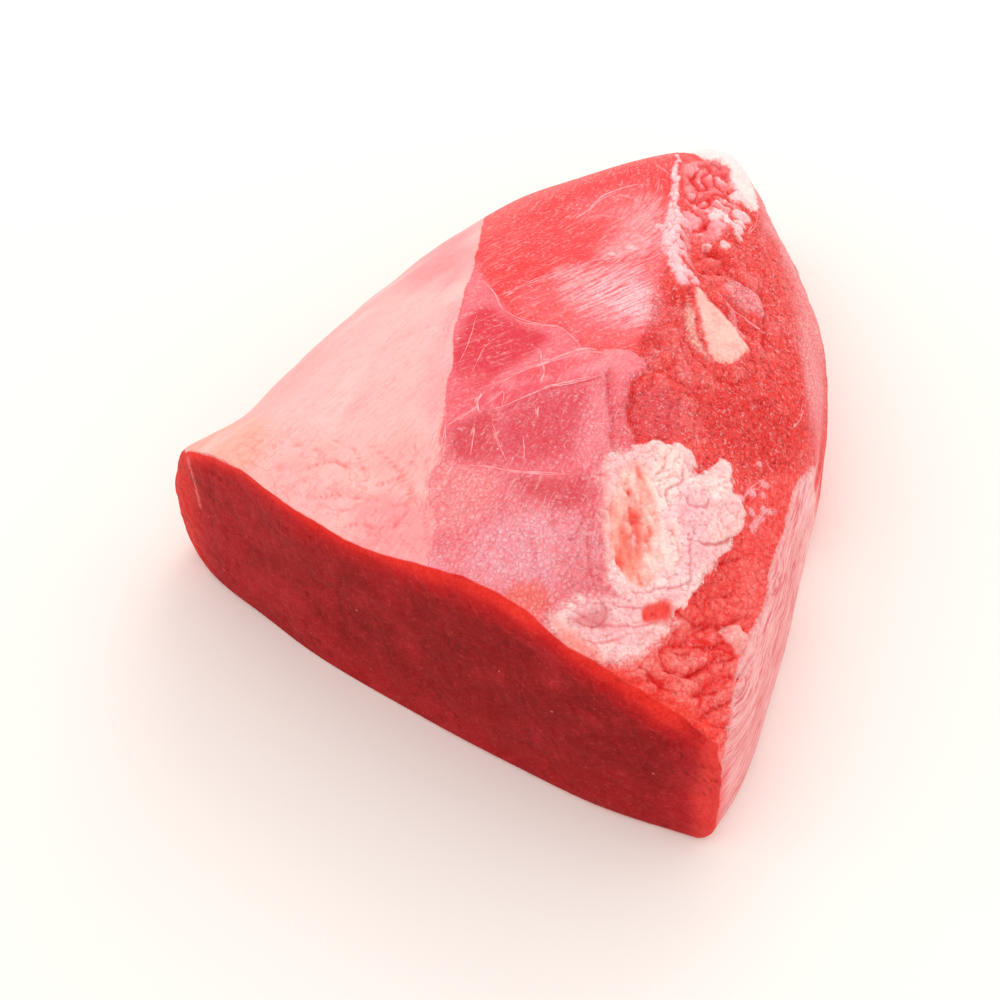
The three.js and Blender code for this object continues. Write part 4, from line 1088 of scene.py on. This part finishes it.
skin = bpy.data.materials.new("wet_skin")
lean = bpy.data.materials.new("lean_cut")
for material, roughness, specular, coat_roughness in ((skin, 0.5, 0.08, 0.16), (lean, 0.62, 0.12, 0.3)):
    material.use_nodes = True
    tree = material.node_tree
    surface = tree.nodes["Principled BSDF"]
    surface.inputs["Roughness"].default_value = roughness
    surface.inputs["Specular IOR Level"].default_value = specular
    surface.inputs["Coat Weight"].default_value = 0.0
    surface.inputs["Coat Roughness"].default_value = coat_roughness

    def told(name, field="Fac"):
        return node(tree, "ShaderNodeAttribute", attribute_name=name).outputs[field]

    def grouped(group, **inputs):
        made = node(tree, "ShaderNodeGroup", node_tree=group)
        for name, value in inputs.items():
            if isinstance(value, bpy.types.NodeSocket):
                tree.links.new(value, made.inputs[name])
            else:
                made.inputs[name].default_value = value
        return made.outputs

    spots = node(tree, "ShaderNodeVectorMath", {0: node(tree, "ShaderNodeTexCoord").outputs["Object"],
                                                "Scale": MILLIMETRES}, operation="SCALE").outputs[0]
    fray = node(tree, "ShaderNodeTexNoise", {"Vector": spots, "Scale": 0.6, "Detail": 3.0}).outputs["Fac"]
    fray = sums(tree, "MULTIPLY", sums(tree, "SUBTRACT", fray, 0.5), 0.8)
    covered = rise(tree, sums(tree, "ADD", told("cover"), fray), -0.3, 0.3)
    sliced = rise(tree, sums(tree, "ADD", told("past"), sums(tree, "MULTIPLY", fray, 0.5)), -0.35, 0.35)

    arc = grouped(fibres, Grain=told("arc", "Vector"), Length=9.0, Width=0.75)["Streak"]
    fan = grouped(fibres, Grain=told("fan", "Vector"), Length=6.0, Width=0.8)["Streak"]
    wrap = grouped(fibres, Grain=told("wrap", "Vector"), Length=16.0, Width=0.6)["Streak"]
    streak = node(tree, "ShaderNodeMix", {"Factor": told("arcing"), 2: fan, 3: arc}).outputs[0]
    streak = node(tree, "ShaderNodeMix", {"Factor": told("side"), 2: streak, 3: wrap}).outputs[0]
    creased = grouped(creasing, Place=spots, Size=3.2, Line=0.14)

    body = blend(tree, covered, told("flesh", "Color"), told("film", "Color"))
    fibrous = told("streaky")
    # Painted sheen: pale streaks where the sheen attribute puts the lamp's reflection.
    sheen_streaks = sums(tree, "MULTIPLY", told("sheen"), rise(tree, streak, 0.34, 0.64))
    body = blend(tree, sheen_streaks, body, (255, 208, 213))
    combed = sums(tree, "MULTIPLY", rise(tree, streak, 0.53, 0.40, 0.95), told("side"))
    body = tinted(tree, combed, body, (0.90, 0.55, 0.60))
    dark = sums(tree, "MULTIPLY", rise(tree, streak, 0.5, 0.3, 0.75), fibrous)
    pale = sums(tree, "MULTIPLY", rise(tree, streak, 0.54, 0.74, 0.5), fibrous)
    body = tinted(tree, dark, body, (0.97, 0.62, 0.66))
    body = blend(tree, pale, body, (255, 205, 205))
    # Painted shade: the fine hair creases, low lines in the bump, are painted darker where the skin is
    # netted.
    lined = sums(tree, "MULTIPLY", creased["Mask"], told("netted"))
    body = tinted(tree, sums(tree, "MULTIPLY", lined, 0.8), body, (0.97, 0.38, 0.40))
    vein = grouped(veining, Place=spots, Size=13.0, Line=0.032)["Mask"]
    vein = sums(tree, "MULTIPLY", vein, told("veined"))
    body = tinted(tree, sums(tree, "MULTIPLY", vein, 0.5), body, (0.98, 0.58, 0.58))
    # Painted shade: the seams between the small pebbles of the skin, low in the bump, are painted darker,
    # and deeper still where the skin is netted.
    fine = grouped(pebbled, Place=spots, Size=1.7)["Crest"]
    seam = sums(tree, "MULTIPLY", sums(tree, "SUBTRACT", 1.0, fine), told("glinting"))
    body = tinted(tree, sums(tree, "MULTIPLY", seam, 0.6), body, (1.0, 0.52, 0.56))

    crinkled = sums(tree, "MULTIPLY", seam, told("netted"))
    body = tinted(tree, sums(tree, "MULTIPLY", crinkled, 0.45), body, (1.0, 0.45, 0.49))

    # Painted glints and shade: white specks on the raised flecks of the bump stand for glints of the wet
    # skin, and the low flecks are painted darker as shade in small pits.
    fleck = node(tree, "ShaderNodeTexNoise", {"Vector": spots, "Scale": 0.75, "Detail": 3.0,
                                              "Roughness": 0.7}).outputs["Fac"]
    patchy = node(tree, "ShaderNodeTexNoise", {"Vector": spots, "Scale": 0.2}).outputs["Fac"]
    glint_specks = sums(tree, "MULTIPLY", rise(tree, fleck, 0.54, 0.66, 0.6), rise(tree, patchy, 0.3, 0.6))
    glint_specks = sums(tree, "MULTIPLY", glint_specks, told("glinting"))
    body = blend(tree, glint_specks, body, (255, 196, 196))
    pit_shade = sums(tree, "MULTIPLY", rise(tree, fleck, 0.46, 0.3, 0.8), told("glinting"))
    body = tinted(tree, pit_shade, body, (1.0, 0.56, 0.58))

    grain = node(tree, "ShaderNodeTexNoise", {"Vector": spots, "Scale": 0.6, "Detail": 3.0,
                                              "Roughness": 0.8}).outputs["Fac"]
    body = tinted(tree, rise(tree, grain, 0.5, 0.3, 0.5), body, (0.98, 0.78, 0.80))
    flesh = told("slice", "Color")
    flesh = tinted(tree, rise(tree, grain, 0.54, 0.36, 0.8), flesh, (0.90, 0.60, 0.64))
    flesh = tinted(tree, sums(tree, "MULTIPLY", sums(tree, "SUBTRACT", 1.0, fine), 0.5), flesh,
                   (0.88, 0.55, 0.60))
    # Painted highlights on the cut: a lighter speckle where the grain is high and small pale specks stand
    # for glints of the wet flesh.
    flesh = blend(tree, rise(tree, grain, 0.55, 0.70, 0.25), flesh, (226, 84, 82))
    flesh = tinted(tree, sums(tree, "MULTIPLY", vein, 0.7), flesh, (0.74, 0.36, 0.44))
    cut_glint_specks = node(tree, "ShaderNodeTexVoronoi", {"Vector": spots, "Scale": 0.09}).outputs["Distance"]
    cut_glint_specks = sums(tree, "ADD", cut_glint_specks, sums(tree, "MULTIPLY", grain, 0.12))
    flesh = blend(tree, rise(tree, cut_glint_specks, 0.115, 0.08, 0.5), flesh, (232, 140, 136))
    tree.links.new(blend(tree, sliced, body, flesh), surface.inputs["Base Color"])

    bumps = sums(tree, "MULTIPLY", streak, sums(tree, "MULTIPLY", fibrous, 0.5))
    bumps = sums(tree, "ADD", bumps, sums(tree, "MULTIPLY", creased["Height"], told("netted")))
    bumps = sums(tree, "ADD", bumps, sums(tree, "MULTIPLY", fleck, sums(tree, "MULTIPLY",
                                                                      told("glinting"), 1.2)))
    bumps = sums(tree, "ADD", bumps, sums(tree, "MULTIPLY", grain, sums(tree, "MULTIPLY", sliced, 1.2)))
    raised = sums(tree, "ADD", 0.7, sums(tree, "MULTIPLY", told("netted"), 0.6))
    bumps = sums(tree, "ADD", bumps, sums(tree, "MULTIPLY", fine, sums(tree, "MULTIPLY",
                                                                     told("glinting"), raised)))
    bump = node(tree, "ShaderNodeBump", {"Height": bumps, "Strength": 1.0, "Distance": 0.00028})
    tree.links.new(bump.outputs["Normal"], surface.inputs["Normal"])
    if material is skin:
        gloss = told("wet")
        tree.links.new(sums(tree, "MULTIPLY", gloss, 0.25), surface.inputs["Coat Weight"])
        tree.links.new(sums(tree, "SUBTRACT", 0.58, sums(tree, "MULTIPLY", gloss, 0.16)),
                       surface.inputs["Roughness"])
    meat.data.materials.append(material)

corner_faces = np.zeros(len(meat.data.polygons), np.int32)
for polygon in meat.data.polygons:
    if min(past[v] for v in polygon.vertices) > 2.5:
        corner_faces[polygon.index] = 1
meat.data.polygons.foreach_set("material_index", corner_faces)
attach(meat, "root")
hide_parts("top_sirloin")

# White strands of film lie on the skin: fine threads that frayed when the outer fat was pulled
# off. Each is a few thin threads side by side, half sunk in the surface.
STRANDS = (  # points in plan, thread radius, number of threads, spread across
    ([(-38, 31.5), (-37.5, 39.5), (-38, 50.5), (-36, 57.5), (-33, 66), (-28.5, 69)], 0.28, 5, 0.9),
    ([(-34.5, 54.5), (-28.5, 57), (-27.5, 60)], 0.25, 3, 0.6),
    ([(-37, 86), (-28.5, 82), (-25, 79.5)], 0.2, 2, 0.5),
    ([(-38.5, 21), (-35.5, 31.5), (-31, 39), (-23, 42)], 0.16, 3, 1.0),
    ([(-32.5, -24.5), (-29.5, -16.5), (-24.5, -9), (-18.5, -1.5), (-15, 7), (-11, 12), (-8, 20),
      (-7, 27), (-2, 36)], 0.25, 5, 0.8),
    ([(-33, -25), (-31, -21)], 0.5, 3, 0.6),
    ([(-46, -17.5), (-35.5, -25.5), (-28.5, -30.5), (-21, -33), (-13.5, -32.5), (-6, -30.5), (0, -32.5),
      (7, -36.5)], 0.24, 3, 0.5),
    ([(-12.5, -66), (-9.5, -60), (-6, -54), (-1.5, -49), (2.5, -43), (7.5, -37), (13, -34), (18, -29.5),
      (23, -26.5)], 0.34, 4, 0.7),
    ([(-18, -84.5), (-15, -80), (-12, -75), (-11, -73)], 0.3, 3, 0.4),
    ([(-13, -68), (-12, -72), (-9.5, -75)], 0.55, 3, 0.8),
    ([(-10, -74), (-8, -69.5), (-7, -64.5), (-5, -66.5), (-3.5, -70.5)], 0.22, 2, 0.4),
    ([(-8.5, -73.5), (-3.5, -70.5), (0.5, -63.5), (5, -56.5), (10, -51.5), (15.5, -45.5), (19, -41)],
     0.28, 3, 0.6),
    ([(-6, -42.5), (-2, -47.5), (1, -51.5), (2.5, -57)], 0.32, 2, 0.3),
    ([(6.5, -64.5), (9.5, -69)], 0.35, 2, 0.2),
    ([(-8.5, -79), (-5.5, -85.5), (-3, -91)], 0.22, 3, 0.8),
    ([(-3.5, -77), (3.5, -82.5), (10, -88)], 0.22, 2, 0.5),
    ([(9, -77), (15, -86)], 0.2, 2, 0.6),
    ([(-6.5, -95.5), (-6, -100.5)], 0.35, 2, 0.3),
    ([(-6, -97), (3.5, -93), (11.5, -91), (17, -90.5), (24.5, -87.5), (32.5, -84)], 0.26, 4, 0.5),
    ([(17.5, -91), (16.5, -95), (17, -99.5)], 0.3, 2, 0.4),
    ([(11.5, -94), (12.5, -106.5), (13, -117), (12, -124)], 0.2, 4, 1.4),
    ([(4.5, -98.5), (4.5, -111)], 0.2, 3, 1.2),
    ([(22, -100), (24, -110), (26, -120)], 0.16, 3, 1.6),
    ([(-20, -83), (-16, -93.5), (-11, -105), (-9, -111.5)], 0.25, 4, 0.9),
    ([(-23, -75), (-15, -89), (-10.5, -99.5)], 0.22, 4, 0.9),
    ([(-14, -101), (-8.5, -107), (-6, -113.5), (0.5, -119)], 0.2, 3, 0.8),
    ([(-46, -31.5), (-41, -47.5), (-35, -61)], 0.18, 3, 1.2),
    ([(-64.5, 1), (-59, -19.5), (-56, -40)], 0.16, 2, 0.8),
    ([(-57.5, -65.5), (-57.5, -47)], 0.16, 2, 0.8),
    ([(-28, -60), (-33, -44), (-36, -36)], 0.16, 2, 0.5),
    ([(-22, -62), (-24, -50), (-22, -42)], 0.14, 2, 0.6),
    ([(69.5, 12), (72, 5)], 0.2, 2, 0.3),
    ([(72.5, -4), (72.5, 4), (71, 9)], 0.2, 2, 0.4),
    ([(30, 26.5), (38.5, 25), (45.5, 25.5)], 0.35, 3, 0.6),
    ([(76.5, -46.5), (76.5, -35.5), (77, -31)], 0.25, 3, 0.8),
    ([(83, -50.5), (83, -40), (85, -37.5)], 0.25, 3, 0.6),
    ([(-22, 78), (-16, 65), (-9, 54), (-4, 42)], 0.3, 2, 0.6),
    ([(5, 97), (10, 84), (14, 70)], 0.2, 2, 0.6),
    ([(-2, 69), (2, 69.5), (6, 67)], 0.25, 2, 0.3),
)
THREAD = (254, 182, 186)
random.seed(7)
eye = BVHTree.FromPolygons([v.co.copy() for v in meat.data.vertices],
                           [tuple(p.vertices) for p in meat.data.polygons])
curve = bpy.data.curves.new("film_strands", "CURVE")
curve.dimensions = "3D"
curve.bevel_depth = 0.001
curve.bevel_resolution = 1
curve.use_fill_caps = True
for points, radius, threads, spread in STRANDS:
    line = np.array(smooth_line(points, steps=6))
    reach = np.concatenate(([0], np.cumsum(np.linalg.norm(np.diff(line, axis=0), axis=1))))
    for k in range(threads):
        first = 0.0 if k == 0 else random.uniform(0, 0.55)
        last = 1.0 if k == 0 else min(1.0, first + random.uniform(0.25, 0.6))
        count = max(4, int((last - first) * reach[-1] / 1.1))
        shift = random.gauss(0, spread) if k else 0.0
        phase = random.uniform(0, 6.28)
        dropped = []
        for t in np.linspace(first, last, count):
            at = np.array([np.interp(t * reach[-1], reach, line[:, i]) for i in (0, 1)])
            ahead = np.array([np.interp(t * reach[-1] + 1, reach, line[:, i]) for i in (0, 1)])
            behind = np.array([np.interp(t * reach[-1] - 1, reach, line[:, i]) for i in (0, 1)])
            way = (ahead - behind) / max(np.linalg.norm(ahead - behind), 1e-6)
            aside = shift + 0.35 * math.sin(t * reach[-1] / 4 + phase)
            at = at + np.array((-way[1], way[0])) * aside
            hit = eye.ray_cast(Vector((at[0] / 1000, at[1] / 1000, 0.2)), Vector((0, 0, -1)))
            if hit[0] is not None:
                sunk = min(hit[0].z - 0.2 * radius / 1000, cad_box[1][2] - radius / 1000)
                dropped.append(Vector((hit[0].x, hit[0].y, sunk)))
        if len(dropped) < 3:
            continue
        spline = curve.splines.new("POLY")
        spline.points.add(len(dropped) - 1)
        for i, spot_on in enumerate(dropped):
            ends = min(1.0, 4 * min(i, len(dropped) - 1 - i) / len(dropped) + 0.25)
            spline.points[i].co = (*spot_on, 1)
            spline.points[i].radius = 0.85 * radius * ends * random.uniform(0.6, 1.15)
strands = bpy.data.objects.new("film_strands", curve)
bpy.context.scene.collection.objects.link(strands)
bpy.ops.object.select_all(action="DESELECT")
bpy.context.view_layer.objects.active = strands
strands.select_set(True)
bpy.ops.object.convert(target="MESH")
strands = bpy.context.object
bpy.ops.object.shade_smooth()
thread = bpy.data.materials.new("white_film")
thread.use_nodes = True
tree = thread.node_tree
surface = tree.nodes["Principled BSDF"]
surface.inputs["Roughness"].default_value = 0.4
surface.inputs["Specular IOR Level"].default_value = 0.4
place = node(tree, "ShaderNodeTexCoord").outputs["Object"]
streaks = node(tree, "ShaderNodeTexNoise", {"Vector": place, "Scale": 300.0, "Detail": 3.0})
tree.links.new(blend(tree, rise(tree, streaks.outputs["Fac"], 0.35, 0.65), (246, 140, 146), THREAD),
               surface.inputs["Base Color"])
strands.data.materials.clear()
strands.data.materials.append(thread)
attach(strands, "root")
